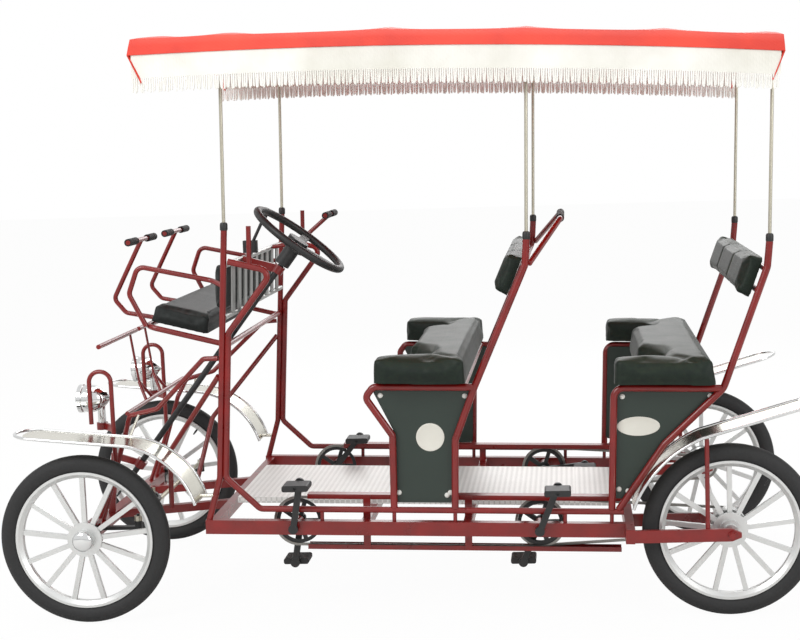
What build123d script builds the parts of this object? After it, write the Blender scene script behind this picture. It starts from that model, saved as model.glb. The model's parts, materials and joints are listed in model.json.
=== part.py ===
# Six-seat pedal cart: tube frame on four cast wheels, two benches, a child seat and a canopy.
# Millimetres. +X points to the rear, +Y to the right-hand side, +Z up; the ground is Z = 0.
from build123d import *
import math
import os

# Driving dimensions: wheels and stance
WHEELBASE = 2284.0
TRACK = 1090.0
TYRE_RADIUS = 305.0
TYRE_WIDTH = 56.0
TYRE_HEIGHT = 58.0     # tread to the rim's edge
RIM_RADIUS = TYRE_RADIUS - TYRE_HEIGHT
RAKE = 1.43            # the frame's slope down to the rear, degrees

# Side frames, in the frame's own level lines
RAIL_Y = 530.0         # centre of each side rail from the middle
RAIL_Z = 323.0         # centre height of the lower rail and of the crank spindles
RAIL_HEIGHT = 50.0
RAIL_WIDTH = 30.0
RAIL_FRONT = -715.0
RAIL_REAR = 770.0
UPPER_RAIL_Z = 388.0
TUBE = 11.0            # radius of rail and upright tubes
SEAT_TUBE = 12.5       # radius of bench tubes
POST_X = -626.0        # front pole, middle pole and rear pole stations
MID_POST_X = 425.0
REAR_POST_X = 1256.0
BENCH_Z = 828.0        # centre height of the bench side bars
WELD_GAP = 0.2         # space left where separate pieces meet
BED_GAP = 0.5          # space under soft pieces

# Cranks and chains
CRANK_STATIONS = {"front": -398.0, "rear": 472.0}
CRANK_ARM = 170.0
CRANK_SPINDLE = 12.0
RUNNING_GAP = 0.08
CHAINRING_RADIUS = 82.0
CHAIN_WIDTH = 8.0
CHAIN_DEPTH = 9.0
SPROCKET_RADIUS = 42.0
TANDEM_Y = 442.0       # plane of the chain between the two cranks
DRIVE_Y = 428.0        # plane of the chain to the rear wheel
CHAIN_SLACK = 0.6      # space between a chain loop and its toothed ring

# Front axle and steering
KINGPIN_Y = 462.0
KINGPIN_RADIUS = 8.0
STUB_RADIUS = 10.0
BEAM = 38.0
HUB_OUTER = 36.0       # hub face outside the wheel's middle plane
HUB_INNER = 32.0
STEER_ARM_Z = TYRE_RADIUS + 17.0
TIE_ROD_DROP = 31.0    # tie rod below the pitman arm's eye
STEER_CENTRE = (-380.0, -250.0, 1335.0)
STEER_SLOPE = 52.3     # lean of the column above the ground line, degrees
STEER_WHEEL_RADIUS = 182.0
COLUMN_RADIUS = 11.0
PITMAN = 110.0

# Canopy
CANOPY_AHEAD = 289.0   # the roof ahead of the front poles, behind the rear poles and outside the rails
CANOPY_BEHIND = 25.0
CANOPY_OUTSIDE = 110.0
CANOPY_FRONT = POST_X - CANOPY_AHEAD
CANOPY_REAR = REAR_POST_X + CANOPY_BEHIND
CANOPY_HALF_WIDTH = RAIL_Y + CANOPY_OUTSIDE
EAVE_Z = 1972.0
EAVE_ARCH = 29.0       # rise of the eave line at mid length
SHOULDER_IN = 40.0     # the roof's edge leans in to a shoulder, then crowns
SHOULDER_RISE = 55.0
ROOF_RISE = 92.0
ROOF_SKIN = 3.0
VALANCE_DROP = 128.0
POLE_RADIUS = 6.0

AXLE_X = WHEELBASE / 2
WHEEL_Y = TRACK / 2
RAKE_SIN = math.sin(math.radians(RAKE))
RAKE_COS = math.cos(math.radians(RAKE))
RAIL_TOP = RAIL_Z + RAIL_HEIGHT / 2
SIDES = {"left": -1, "right": 1}

os.makedirs("parts", exist_ok=True)


# A point of the level frame, leaned with the rake into the standing vehicle
def leaned(x, y, z):
    return Vector(x * RAKE_COS + z * RAKE_SIN, y, z * RAKE_COS - x * RAKE_SIN)


# The level-frame x and z of a point of the standing vehicle
def level(x, z):
    return x * RAKE_COS - z * RAKE_SIN, z * RAKE_COS + x * RAKE_SIN


# Leaned planes: seen from the side, from above and from behind
def side_plane(y):
    return Plane(origin=(0, y, 0), x_dir=(RAKE_COS, 0, -RAKE_SIN), z_dir=(0, -1, 0))


def deck_plane(z):
    return Plane(origin=leaned(0, 0, z), x_dir=(RAKE_COS, 0, -RAKE_SIN), z_dir=(RAKE_SIN, 0, RAKE_COS))


def cross_plane(x):
    return Plane(origin=leaned(x, 0, 0), x_dir=(0, 1, 0), z_dir=(RAKE_COS, 0, -RAKE_SIN))


# A round tube along points, joined to the part whose block calls it
def tube(points, radius, bend=0.0, mode=Mode.ADD):
    with BuildLine() as path:
        if len(points) > 2:
            FilletPolyline(*points, radius=bend)
        else:
            Line(*points)
    start = path.wire()
    with BuildSketch(Plane(origin=start @ 0, z_dir=start % 0)) as section:
        Circle(radius)
    sweep(sections=section.sketch, path=start, mode=mode)


# A straight bar of rectangular section; width lies across the vehicle or along its length
def bar(start, end, width, height, across=(0, 1, 0), mode=Mode.ADD):
    run = Vector(*end) - Vector(*start)
    with BuildSketch(Plane(origin=start, x_dir=across, z_dir=run)) as section:
        Rectangle(width, height)
    extrude(section.sketch, amount=run.length, mode=mode)


# A cylinder from one point to another
def rod(start, end, radius, mode=Mode.ADD):
    run = Vector(*end) - Vector(*start)
    with BuildSketch(Plane(origin=start, z_dir=run)) as section:
        Circle(radius)
    extrude(section.sketch, amount=run.length, mode=mode)


# Lower side rails with the crank bearing shells welded through them
SHELL_RADIUS = 21.0
SHELL_OUTER_Y = 551.0
SHELL_INNER_Y = 451.0
with BuildPart() as rails:
    for side in SIDES.values():
        bar(leaned(RAIL_FRONT, side * RAIL_Y, RAIL_Z), leaned(RAIL_REAR, side * RAIL_Y, RAIL_Z),
            RAIL_WIDTH, RAIL_HEIGHT)
        for station in CRANK_STATIONS.values():
            rod(leaned(station, side * SHELL_OUTER_Y, RAIL_Z),
                leaned(station, side * SHELL_INNER_Y, RAIL_Z), SHELL_RADIUS)
    for side in SIDES.values():
        for station in CRANK_STATIONS.values():
            rod(leaned(station, side * SHELL_OUTER_Y, RAIL_Z), leaned(station, side * SHELL_INNER_Y, RAIL_Z),
                CRANK_SPINDLE + RUNNING_GAP, mode=Mode.SUBTRACT)
rails.part.label = "rails"
export_step(rails.part, "parts/rails.step")

# Front uprights: the upper rail turns up into the rear tube of each pair and ends as the dash triangle
PAIR_X = 21.0          # spacing of the two tubes of a pair
SPLIT_Z = 500.0
SOCKET_TOP = 1377.0
UPPER_RAIL_REAR = 765.0
DASH_CORNER = (-459.0, 1233.0)
with BuildPart() as uprights:
    for side in SIDES.values():
        y = side * RAIL_Y
        upper_rail = [
            (UPPER_RAIL_REAR, UPPER_RAIL_Z), (-520.0, UPPER_RAIL_Z), (POST_X - 36 + PAIR_X, SPLIT_Z),
            (POST_X - 15 + PAIR_X, 1015.0), DASH_CORNER, (POST_X + TUBE, 1268.0)]
        tube([leaned(x, y, z) for x, z in upper_rail], TUBE, 28.0)
        front_tube = [(RAIL_FRONT + TUBE, RAIL_TOP - 2), (POST_X - 36, SPLIT_Z), (POST_X, SOCKET_TOP)]
        tube([leaned(x, y, z) for x, z in front_tube], TUBE, 60.0)
        rod(leaned(-540.0, y, 1252.0), leaned(-540.0, y, 1392.0), 8.5)
        rod(leaned(POST_X, y, SOCKET_TOP + 1), leaned(POST_X, y, SOCKET_TOP - 80), POLE_RADIUS + WELD_GAP,
            mode=Mode.SUBTRACT)
        for x in (-300.0, -43.0, 173.0, 560.0, 724.0):
            rod(leaned(x, y, RAIL_TOP - 2), leaned(x, y, UPPER_RAIL_Z), 7.0)
    for side in SIDES.values():
        bar(leaned(RAIL_FRONT - 20, side * RAIL_Y, RAIL_Z), leaned(RAIL_REAR, side * RAIL_Y, RAIL_Z),
            RAIL_WIDTH + 2 * WELD_GAP, RAIL_HEIGHT + 2 * WELD_GAP, mode=Mode.SUBTRACT)
uprights.part.label = "uprights"
export_step(uprights.part, "parts/uprights.step")

# Cross members between the rails, and the rear one that carries the wheel forks
CROSS_STATIONS = (-690.0, -150.0, 215.0)
CROSS_HEIGHT = 40.0
CROSS_DEPTH = 30.0
REAR_CROSS_DEPTH = 32.0
FORK_OUTER_Y = 620.0
FORK_INNER_Y = 398.0
FORK_WIDTH = 14.0
REAR_CROSS_END = FORK_OUTER_Y + FORK_WIDTH / 2
with BuildPart() as cross_members:
    inner_face = RAIL_Y - RAIL_WIDTH / 2
    for x in CROSS_STATIONS:
        bar(leaned(x, -inner_face, RAIL_Z), leaned(x, inner_face, RAIL_Z), CROSS_DEPTH, CROSS_HEIGHT,
            across=(RAKE_COS, 0, -RAKE_SIN))
    rear_x = RAIL_REAR + REAR_CROSS_DEPTH / 2
    bar(leaned(rear_x, -REAR_CROSS_END, RAIL_Z), leaned(rear_x, REAR_CROSS_END, RAIL_Z),
        REAR_CROSS_DEPTH, RAIL_HEIGHT, across=(RAKE_COS, 0, -RAKE_SIN))
cross_members.part.label = "cross_members"
export_step(cross_members.part, "parts/cross_members.step")

# Pale floor tray on the cross members, with turned-down edges
FLOOR_HALF = 270.0
FLOOR_SKIN = 3.0
FLOOR_LIP = 22.0
FLOOR_TOP = RAIL_Z + CROSS_HEIGHT / 2 + FLOOR_LIP
with BuildPart() as floor:
    with BuildSketch(cross_plane(-660.0)) as tray:
        with Locations((0, FLOOR_TOP - FLOOR_SKIN / 2)):
            Rectangle(2 * FLOOR_HALF, FLOOR_SKIN)
        for y in (-FLOOR_HALF + FLOOR_SKIN / 2, 0, FLOOR_HALF - FLOOR_SKIN / 2):
            with Locations((y, FLOOR_TOP - FLOOR_LIP / 2)):
                Rectangle(FLOOR_SKIN, FLOOR_LIP)
    extrude(tray.sketch, amount=1400.0)
floor.part.label = "floor"
export_step(floor.part, "parts/floor.step")

# Chain guards: channels over and under each chain, on brackets from the cross members
GUARD_SKIN = 2.0
GUARD_INNER = 417.0
GUARD_OUTER = 457.0
GUARD_REACH = CHAINRING_RADIUS + CHAIN_DEPTH + 8.0
GUARD_SKIRT = 17.0
GUARD_FRONT = -365.0
GUARD_REAR = 762.0
with BuildPart() as chain_guards:
    for side in SIDES.values():
        middle = side * (GUARD_INNER + GUARD_OUTER) / 2
        for up in (1, -1):
            plate_z = RAIL_Z + up * (GUARD_REACH + GUARD_SKIN / 2)
            skirt_z = RAIL_Z + up * (GUARD_REACH - GUARD_SKIRT / 2 + GUARD_SKIN)
            with BuildSketch(cross_plane(GUARD_FRONT)) as channel:
                with Locations((middle, plate_z)):
                    Rectangle(GUARD_OUTER - GUARD_INNER, GUARD_SKIN)
                for y in (GUARD_INNER + GUARD_SKIN / 2, GUARD_OUTER - GUARD_SKIN / 2):
                    with Locations((side * y, skirt_z)):
                        Rectangle(GUARD_SKIN, GUARD_SKIRT)
            extrude(channel.sketch, amount=GUARD_REAR - GUARD_FRONT)
            for x in CROSS_STATIONS[1:]:
                bracket_low = RAIL_Z + up * CROSS_HEIGHT / 2
                bracket_high = RAIL_Z + up * GUARD_REACH
                bar(leaned(x, side * (GUARD_OUTER + 1.5), bracket_low),
                    leaned(x, side * (GUARD_OUTER + 1.5), bracket_high),
                    4.0, CROSS_DEPTH - 4, across=(0, 1, 0))
chain_guards.part.label = "chain_guards"
export_step(chain_guards.part, "parts/chain_guards.step")

# Chains: fixed loops, one between the two cranks and one on to the rear wheel, on each side
REAR_AXLE_X, REAR_AXLE_Z = level(AXLE_X, TYRE_RADIUS)
CHAIN_ROWS = (  # plane y, front x, front radius, rear x, rear z, rear radius
    (TANDEM_Y, CRANK_STATIONS["front"], CHAINRING_RADIUS, CRANK_STATIONS["rear"], RAIL_Z, CHAINRING_RADIUS),
    (DRIVE_Y, CRANK_STATIONS["rear"], CHAINRING_RADIUS, REAR_AXLE_X, REAR_AXLE_Z, SPROCKET_RADIUS),
)
with BuildPart() as chains:
    for side in SIDES.values():
        for y, front_x, front_radius, rear_x, rear_z, rear_radius in CHAIN_ROWS:
            start_y = side * y + CHAIN_WIDTH / 2
            with BuildSketch(side_plane(start_y)) as loop:
                for grow, mode in ((CHAIN_SLACK + CHAIN_DEPTH, Mode.ADD), (CHAIN_SLACK, Mode.SUBTRACT)):
                    with BuildSketch(mode=Mode.PRIVATE) as rings:
                        with Locations((front_x, RAIL_Z)):
                            Circle(front_radius + grow)
                        with Locations((rear_x, rear_z)):
                            Circle(rear_radius + grow)
                        make_hull()
                    add(rings.sketch, mode=mode)
            extrude(loop.sketch, amount=CHAIN_WIDTH)
chains.part.label = "chains"
export_step(chains.part, "parts/chains.step")

# Rear wheel forks: an outer and an inner bar on each side, the axle through both, and a fender stay
FORK_HEIGHT = 44.0
FORK_REAR = REAR_AXLE_X + 32.0
FORK_FRONT = RAIL_REAR + REAR_CROSS_DEPTH
AXLE_RADIUS = 10.0
STAY_POINT = (1060.0, 612.0, 640.4)  # the stay's top, under the fender
STAY_RADIUS = 8.0
with BuildPart() as rear_forks:
    for side in SIDES.values():
        for y in (FORK_OUTER_Y, FORK_INNER_Y):
            with BuildSketch(side_plane(side * y + FORK_WIDTH / 2)) as arm:
                with BuildLine():
                    Polyline((FORK_FRONT, RAIL_Z + FORK_HEIGHT / 2),
                             (REAR_AXLE_X, REAR_AXLE_Z + FORK_HEIGHT / 2),
                             (FORK_REAR, REAR_AXLE_Z + 8), (FORK_REAR, REAR_AXLE_Z - 8),
                             (REAR_AXLE_X, REAR_AXLE_Z - FORK_HEIGHT / 2),
                             (FORK_FRONT, RAIL_Z - FORK_HEIGHT / 2),
                             close=True)
                make_face()
            extrude(arm.sketch, amount=FORK_WIDTH)
        rod((AXLE_X, side * (FORK_OUTER_Y + 20), TYRE_RADIUS),
            (AXLE_X, side * (FORK_INNER_Y - 20), TYRE_RADIUS),
            AXLE_RADIUS)
        rod((AXLE_X, side * (WHEEL_Y + HUB_OUTER + 0.5), TYRE_RADIUS),
            (AXLE_X, side * FORK_OUTER_Y, TYRE_RADIUS), 15)
        for y in (FORK_OUTER_Y + FORK_WIDTH / 2, FORK_INNER_Y - FORK_WIDTH / 2 - 9):
            with BuildSketch(Plane(origin=(AXLE_X, side * y, TYRE_RADIUS), z_dir=(0, side, 0))) as nut:
                RegularPolygon(radius=15, side_count=6)
            extrude(nut.sketch, amount=9)
        rod((STAY_POINT[0], side * STAY_POINT[1], TYRE_RADIUS + 5),
            (STAY_POINT[0], side * STAY_POINT[1], STAY_POINT[2]),
            STAY_RADIUS)
rear_forks.part.label = "rear_forks"
export_step(rear_forks.part, "parts/rear_forks.step")

# Front axle: a beam with kingpin yokes, two sub-frame bars and the column's lower bearing
BARREL_HALF = 30.0
LUG = 12.0
YOKE_RADIUS = 19.0
SUBFRAME_Y = 180.0
SUBFRAME_HEIGHT = 30.0
COLUMN_DIR = Vector(math.cos(math.radians(STEER_SLOPE)), 0, math.sin(math.radians(STEER_SLOPE)))
STEER_POINT = Vector(*STEER_CENTRE)
COLUMN_FOOT = 1112.0   # distance from the wheel's centre to the column's lower end
BEARING_AT = 1040.0
BEARING_RADIUS = 21.0
BEARING_LENGTH = 30.0
cross_front = leaned(CROSS_STATIONS[0] - CROSS_DEPTH / 2, 0, RAIL_Z)
SUBFRAME_START = {side: (cross_front.X - 1.8, side * SUBFRAME_Y,
                         cross_front.Z - 4) for side in SIDES.values()}
SUBFRAME_END = {side: (-AXLE_X, side * SUBFRAME_Y, TYRE_RADIUS - 2) for side in SIDES.values()}
BEAM_END = KINGPIN_Y - YOKE_RADIUS - 20
WEB_HALF = BARREL_HALF + LUG + WELD_GAP
WEB_THICK = 18.0


# Clears the beam's place out of a piece that stands on it
def cut_beam():
    bar((-AXLE_X, -BEAM_END, TYRE_RADIUS), (-AXLE_X, BEAM_END, TYRE_RADIUS), BEAM + 2 * WELD_GAP,
        BEAM + 2 * WELD_GAP, across=(1, 0, 0), mode=Mode.SUBTRACT)
    for side in SIDES.values():
        bar((-AXLE_X, side * BEAM_END, TYRE_RADIUS - WEB_HALF),
            (-AXLE_X, side * BEAM_END, TYRE_RADIUS + WEB_HALF),
            BEAM + 2 * WELD_GAP, WEB_THICK + 2 * WELD_GAP, across=(1, 0, 0), mode=Mode.SUBTRACT)


with BuildPart() as front_axle:
    bar((-AXLE_X, -BEAM_END, TYRE_RADIUS), (-AXLE_X, BEAM_END, TYRE_RADIUS), BEAM, BEAM, across=(1, 0, 0))
    for side in SIDES.values():
        y = side * KINGPIN_Y
        for up in (1, -1):
            lug_z = TYRE_RADIUS + up * (BARREL_HALF + WELD_GAP)
            rod((-AXLE_X, y, lug_z), (-AXLE_X, y, lug_z + up * LUG), YOKE_RADIUS)
            bar((-AXLE_X, y, lug_z + up * LUG / 2),
                (-AXLE_X, y - side * (YOKE_RADIUS + 24), lug_z + up * LUG / 2),
                BEAM, LUG, across=(1, 0, 0))
        bar((-AXLE_X, side * BEAM_END, TYRE_RADIUS - WEB_HALF),
            (-AXLE_X, side * BEAM_END, TYRE_RADIUS + WEB_HALF),
            BEAM, WEB_THICK, across=(1, 0, 0))
        rod((-AXLE_X, y, TYRE_RADIUS - BARREL_HALF - LUG - 8),
            (-AXLE_X, y, TYRE_RADIUS + BARREL_HALF + LUG + 8),
            KINGPIN_RADIUS)
        bar(SUBFRAME_START[side], SUBFRAME_END[side], SUBFRAME_HEIGHT, SUBFRAME_HEIGHT)
    bearing = STEER_POINT - COLUMN_DIR * BEARING_AT
    bracket_knee = (-AXLE_X + 30, STEER_POINT.Y, bearing.Z + 40)
    bar((-AXLE_X + 4, STEER_POINT.Y, TYRE_RADIUS), bracket_knee, 10, 24)
    bar((bracket_knee[0] - 6, STEER_POINT.Y, bracket_knee[2] - 8), bearing, 10, 24)
    rod(bearing - COLUMN_DIR * BEARING_LENGTH / 2, bearing + COLUMN_DIR * BEARING_LENGTH / 2, BEARING_RADIUS)
    rod(bearing - COLUMN_DIR * BEARING_LENGTH, bearing + COLUMN_DIR * BEARING_LENGTH,
        COLUMN_RADIUS + RUNNING_GAP, mode=Mode.SUBTRACT)
front_axle.part.label = "front_axle"
export_step(front_axle.part, "parts/front_axle.step")

# Front tubes: from each upright, a bent lamp tube and a straight strut down to the sub-frame
LAMP_TUBE = 9.0
STRUT = 9.5
LAMP_TUBE_FOOT = TYRE_RADIUS + BEAM / 2
with BuildPart() as front_tubes:
    for side in SIDES.values():
        post_front = leaned(POST_X - 20 - TUBE, 0, 925.0)
        lamp_tube = [
            (post_front.X - 1, side * RAIL_Y, 943.0), (-690.0, side * 520.0, 941.0),
            (-891.0, side * 425.0, 749.0),
            (-1000.0, side * 403.0, 722.0), (-1030.0, side * 366.0, 655.0),
            (-AXLE_X + 4, side * 360.0, LAMP_TUBE_FOOT - 8)]
        tube(lamp_tube, LAMP_TUBE, 24.0)
        strut_run = [(post_front.X - 3, side * RAIL_Y, 880.0), (-880.0, side * 330.0, 572.0),
                     (-925.0, side * (SUBFRAME_Y + 8), 325.0)]
        tube(strut_run, STRUT, 60.0)
    for side in SIDES.values():
        rod(leaned(POST_X - 36, side * RAIL_Y, SPLIT_Z), leaned(POST_X, side * RAIL_Y, SOCKET_TOP),
            TUBE + WELD_GAP, mode=Mode.SUBTRACT)
        bar(SUBFRAME_START[side], SUBFRAME_END[side], SUBFRAME_HEIGHT + 2 * WELD_GAP,
            SUBFRAME_HEIGHT + 2 * WELD_GAP, mode=Mode.SUBTRACT)
    cut_beam()
front_tubes.part.label = "front_tubes"
export_step(front_tubes.part, "parts/front_tubes.step")

# Lamp hoops: a leg from the axle beam that arches over and hangs down beside its lamp, with a lamp shelf
HOOP_TUBE = 8.0
HOOP_REAR_X = -1062.0
HOOP_FRONT_X = -1142.0
HOOP_TOP = 886.0
HOOP_END = 694.0
LAMP_X = -1142.0
LAMP_Y = 345.0
LAMP_Z = 778.0
LAMP_RADIUS = 52.0
HOOP_OFFSET = LAMP_RADIUS + HOOP_TUBE + 2.0
SHELF_Z = 676.0
with BuildPart() as lamp_hoops:
    for side in SIDES.values():
        y = side * LAMP_Y - HOOP_OFFSET
        hoop = [(-AXLE_X + 2, y, LAMP_TUBE_FOOT - 6), (HOOP_REAR_X, y, 520.0), (HOOP_REAR_X, y, HOOP_TOP),
                (HOOP_FRONT_X, y, HOOP_TOP), (HOOP_FRONT_X, y, HOOP_END)]
        tube(hoop, HOOP_TUBE, (HOOP_REAR_X - HOOP_FRONT_X) / 2 - 1)
        bar((HOOP_REAR_X, y, SHELF_Z), (LAMP_X + 28, side * LAMP_Y, SHELF_Z), 26, 10, across=(0, 0, 1))
        rod((LAMP_X + 20, side * LAMP_Y, SHELF_Z - 13), (LAMP_X + 20, side * LAMP_Y, SHELF_Z + 13), 20)
    cut_beam()
lamp_hoops.part.label = "lamp_hoops"
export_step(lamp_hoops.part, "parts/lamp_hoops.step")

# Headlamps: bullet shells on short stems, open to the front, with domed lenses
LAMP_LENGTH = 112.0
LAMP_WALL = 2.5
with BuildPart() as headlamps:
    for side in SIDES.values():
        with BuildSketch(Plane(origin=(LAMP_X, side * LAMP_Y, LAMP_Z), x_dir=(1, 0, 0),
                               z_dir=(0, -1, 0))) as bullet:
            with BuildLine():
                front = Line((-LAMP_LENGTH / 2, 0), (-LAMP_LENGTH / 2, LAMP_RADIUS))
                rim = Line(front @ 1, (-LAMP_LENGTH / 2 + 14, LAMP_RADIUS))
                step = Line(rim @ 1, (-LAMP_LENGTH / 2 + 14, LAMP_RADIUS - 4))
                ThreePointArc(step @ 1, (LAMP_LENGTH / 4, LAMP_RADIUS * 0.66), (LAMP_LENGTH / 2, 0))
                Line((LAMP_LENGTH / 2, 0), front @ 0)
            make_face()
        revolve(bullet.sketch, axis=Axis((LAMP_X, side * LAMP_Y, LAMP_Z), (1, 0, 0)))
        rod((LAMP_X + 20, side * LAMP_Y, SHELF_Z + 13), (LAMP_X + 20, side * LAMP_Y, LAMP_Z), 14)
    for side in SIDES.values():
        rod((LAMP_X - LAMP_LENGTH, side * LAMP_Y, LAMP_Z),
            (LAMP_X - LAMP_LENGTH / 2 + 20, side * LAMP_Y, LAMP_Z),
            LAMP_RADIUS - 4 - LAMP_WALL, mode=Mode.SUBTRACT)
headlamps.part.label = "headlamps"
export_step(headlamps.part, "parts/headlamps.step")

with BuildPart() as headlamp_lenses:
    lens_radius = LAMP_RADIUS - 4 - LAMP_WALL - WELD_GAP
    for side in SIDES.values():
        rod((LAMP_X - LAMP_LENGTH / 2 + 12, side * LAMP_Y, LAMP_Z),
            (LAMP_X - LAMP_LENGTH / 2 - 6, side * LAMP_Y, LAMP_Z),
            lens_radius)
    fillet(headlamp_lenses.edges().filter_by(GeomType.CIRCLE).group_by(Axis.X)[0], 9.0)
headlamp_lenses.part.label = "headlamp_lenses"
export_step(headlamp_lenses.part, "parts/headlamp_lenses.step")

# Fenders: curved plates over the wheels, rounded off at the free tip
FENDER_HALF = 80.0
FENDER_SKIN = 5.0
FENDER_TIP_ROUND = 70.0


# A fender plate along an arc and a straight run to its tip
def fender_plate(y, arc_points, tip):
    with BuildSketch(Plane(origin=(0, y + FENDER_HALF, 0), x_dir=(1, 0, 0), z_dir=(0, -1, 0))) as band:
        with BuildLine() as crown:
            arc = ThreePointArc(*arc_points)
            Line(arc @ 1, tip)
        trace(crown.wire(), line_width=FENDER_SKIN)
    extrude(band.sketch, amount=2 * FENDER_HALF)


# Rounds the tip of every plate, seen along the plate's own straight run
def round_tips(y, arc_points, tip):
    run = Vector(tip[0] - arc_points[2][0], 0, tip[1] - arc_points[2][1]).normalized()
    tip_plane = Plane(origin=(tip[0], y, tip[1]), x_dir=run, z_dir=run.cross(Vector(0, 1, 0)))
    with BuildSketch(tip_plane) as waste:
        with Locations((5, 0)):
            Rectangle(2 * FENDER_TIP_ROUND + 10, 2 * FENDER_HALF + 10)
        with Locations((-FENDER_TIP_ROUND, 0)):
            RectangleRounded(2 * FENDER_TIP_ROUND, 2 * FENDER_HALF, FENDER_TIP_ROUND - 1, mode=Mode.SUBTRACT)
        with Locations((-FENDER_TIP_ROUND - 8, 0)):
            Rectangle(2 * FENDER_TIP_ROUND - 60, 2 * FENDER_HALF + 20, mode=Mode.SUBTRACT)
    extrude(waste.sketch, amount=2 * FENDER_SKIN, both=True, mode=Mode.SUBTRACT)


FRONT_FENDER_ARC = ((-722.0, 440.0), (-812.0, 582.0), (-965.0, 652.0))
FRONT_FENDER_TIP = (-1338.0, 688.0)
REAR_FENDER_ARC = ((808.0, 398.0), (905.0, 548.0), (1045.0, 642.0))
REAR_FENDER_TIP = (1418.0, 748.0)
with BuildPart() as front_fenders:
    for side in SIDES.values():
        fender_plate(side * WHEEL_Y, FRONT_FENDER_ARC, FRONT_FENDER_TIP)
        round_tips(side * WHEEL_Y, FRONT_FENDER_ARC, FRONT_FENDER_TIP)
        rod((-724.0, side * RAIL_Y, 452.0), (-664.0, side * RAIL_Y, 452.0), 7.0)
        rod((-985.0, side * (WHEEL_Y - FENDER_HALF + 1), 656.0), (-962.0, side * 409.0, 733.0), 5.0)
    for side in SIDES.values():
        rod(leaned(RAIL_FRONT + TUBE, side * RAIL_Y, RAIL_TOP - 2),
            leaned(POST_X - 36, side * RAIL_Y, SPLIT_Z),
            TUBE + WELD_GAP, mode=Mode.SUBTRACT)
        rod((-1000.0, side * 403.0, 722.0), (-891.0, side * 425.0, 749.0), LAMP_TUBE + WELD_GAP,
            mode=Mode.SUBTRACT)
front_fenders.part.label = "front_fenders"
export_step(front_fenders.part, "parts/front_fenders.step")

with BuildPart() as rear_fenders:
    for side in SIDES.values():
        fender_plate(side * WHEEL_Y, REAR_FENDER_ARC, REAR_FENDER_TIP)
        round_tips(side * WHEEL_Y, REAR_FENDER_ARC, REAR_FENDER_TIP)
rear_fenders.part.label = "rear_fenders"
export_step(rear_fenders.part, "parts/rear_fenders.step")

# Benches: a bent side frame at each rail, with cross bars for the cushion and the backrest
BENCH_TOP = BENCH_Z + SEAT_TUBE
LEG_FOOT = UPPER_RAIL_Z + 7.0
BENCH_ROWS = {  # front leg and seat bar, then back leg and backrest tube up to its pole socket, as x and z
    "front": ([(-43, LEG_FOOT), (-46, 655), (-141, 790), (-112, BENCH_Z), (243, BENCH_Z)],
              [(173, LEG_FOOT), (175, 640), (243, BENCH_Z), (421, 1258), (MID_POST_X, 1345)]),
    "rear": ([(724, LEG_FOOT), (729, BENCH_Z), (1099, BENCH_Z)],
             [(748, LEG_FOOT), (905, 630), (1107, BENCH_Z), (1250, 1250), (REAR_POST_X, 1337)]),
}
BENCH_BENDS = {"front": (24.0, 40.0), "rear": (36.0, 60.0)}
SEAT_BARS = {"front": (105.0, 205.0), "rear": (945.0, 1060.0)}
BACK_BAR_Z = (1165.0, 1240.0)
BAR_RADIUS = 10.0
SOCKET_DEPTH = 80.0
PANEL_SKIN = 3.0


# The x of a bench's back tube at a height
def back_x(row, z):
    low, high = BENCH_ROWS[row][1][2:4]
    return low[0] + (high[0] - low[0]) * (z - low[1]) / (high[1] - low[1])


for row, (seat_run, back_run) in BENCH_ROWS.items():
    seat_bend, back_bend = BENCH_BENDS[row]
    top_x, top_z = back_run[-1]
    with BuildPart() as bench_sides:
        for side in SIDES.values():
            tube([leaned(x, side * RAIL_Y, z) for x, z in seat_run], SEAT_TUBE, seat_bend)
            tube([leaned(x, side * RAIL_Y, z) for x, z in back_run], SEAT_TUBE, back_bend)
        for side in SIDES.values():
            rod(leaned(-600, side * RAIL_Y, UPPER_RAIL_Z), leaned(RAIL_REAR, side * RAIL_Y, UPPER_RAIL_Z),
                TUBE + WELD_GAP, mode=Mode.SUBTRACT)
            rod(leaned(top_x, side * RAIL_Y, top_z - SOCKET_DEPTH), leaned(top_x, side * RAIL_Y, top_z + 5),
                POLE_RADIUS + WELD_GAP, mode=Mode.SUBTRACT)
    bench_sides.part.label = f"{row}_bench_sides"
    export_step(bench_sides.part, f"parts/{row}_bench_sides.step")

    bar_end = RAIL_Y - SEAT_TUBE - WELD_GAP
    with BuildPart() as bench_bars:
        for x in SEAT_BARS[row]:
            seat_end = bar_end - PANEL_SKIN - WELD_GAP
            rod(leaned(x, -seat_end, BENCH_Z), leaned(x, seat_end, BENCH_Z), BAR_RADIUS)
        for z in BACK_BAR_Z:
            x = back_x(row, z)
            rod(leaned(x, -bar_end, z), leaned(x, bar_end, z), BAR_RADIUS)
    bench_bars.part.label = f"{row}_bench_bars"
    export_step(bench_bars.part, f"parts/{row}_bench_bars.step")

# Side panels: dark sheets on the inner side of the bench tubes, with rounded corners
PANEL_OUTLINES = (
    [(-40, 412), (170, 412), (172, 640), (238, 822), (-122, 822), (-44, 670)],
    [(731, 432), (775, 432), (908, 634), (1090, 800), (1090, 822), (735, 822)],
)
with BuildPart() as side_panels:
    for side in SIDES.values():
        inner_y = side * (RAIL_Y - SEAT_TUBE - WELD_GAP)
        face_y = inner_y if side > 0 else inner_y + PANEL_SKIN
        for outline in PANEL_OUTLINES:
            with BuildSketch(side_plane(face_y)) as panel:
                with BuildLine():
                    FilletPolyline(*outline, radius=14.0, close=True)
                make_face()
            extrude(panel.sketch, amount=PANEL_SKIN)
side_panels.part.label = "side_panels"
export_step(side_panels.part, "parts/side_panels.step")

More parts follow.
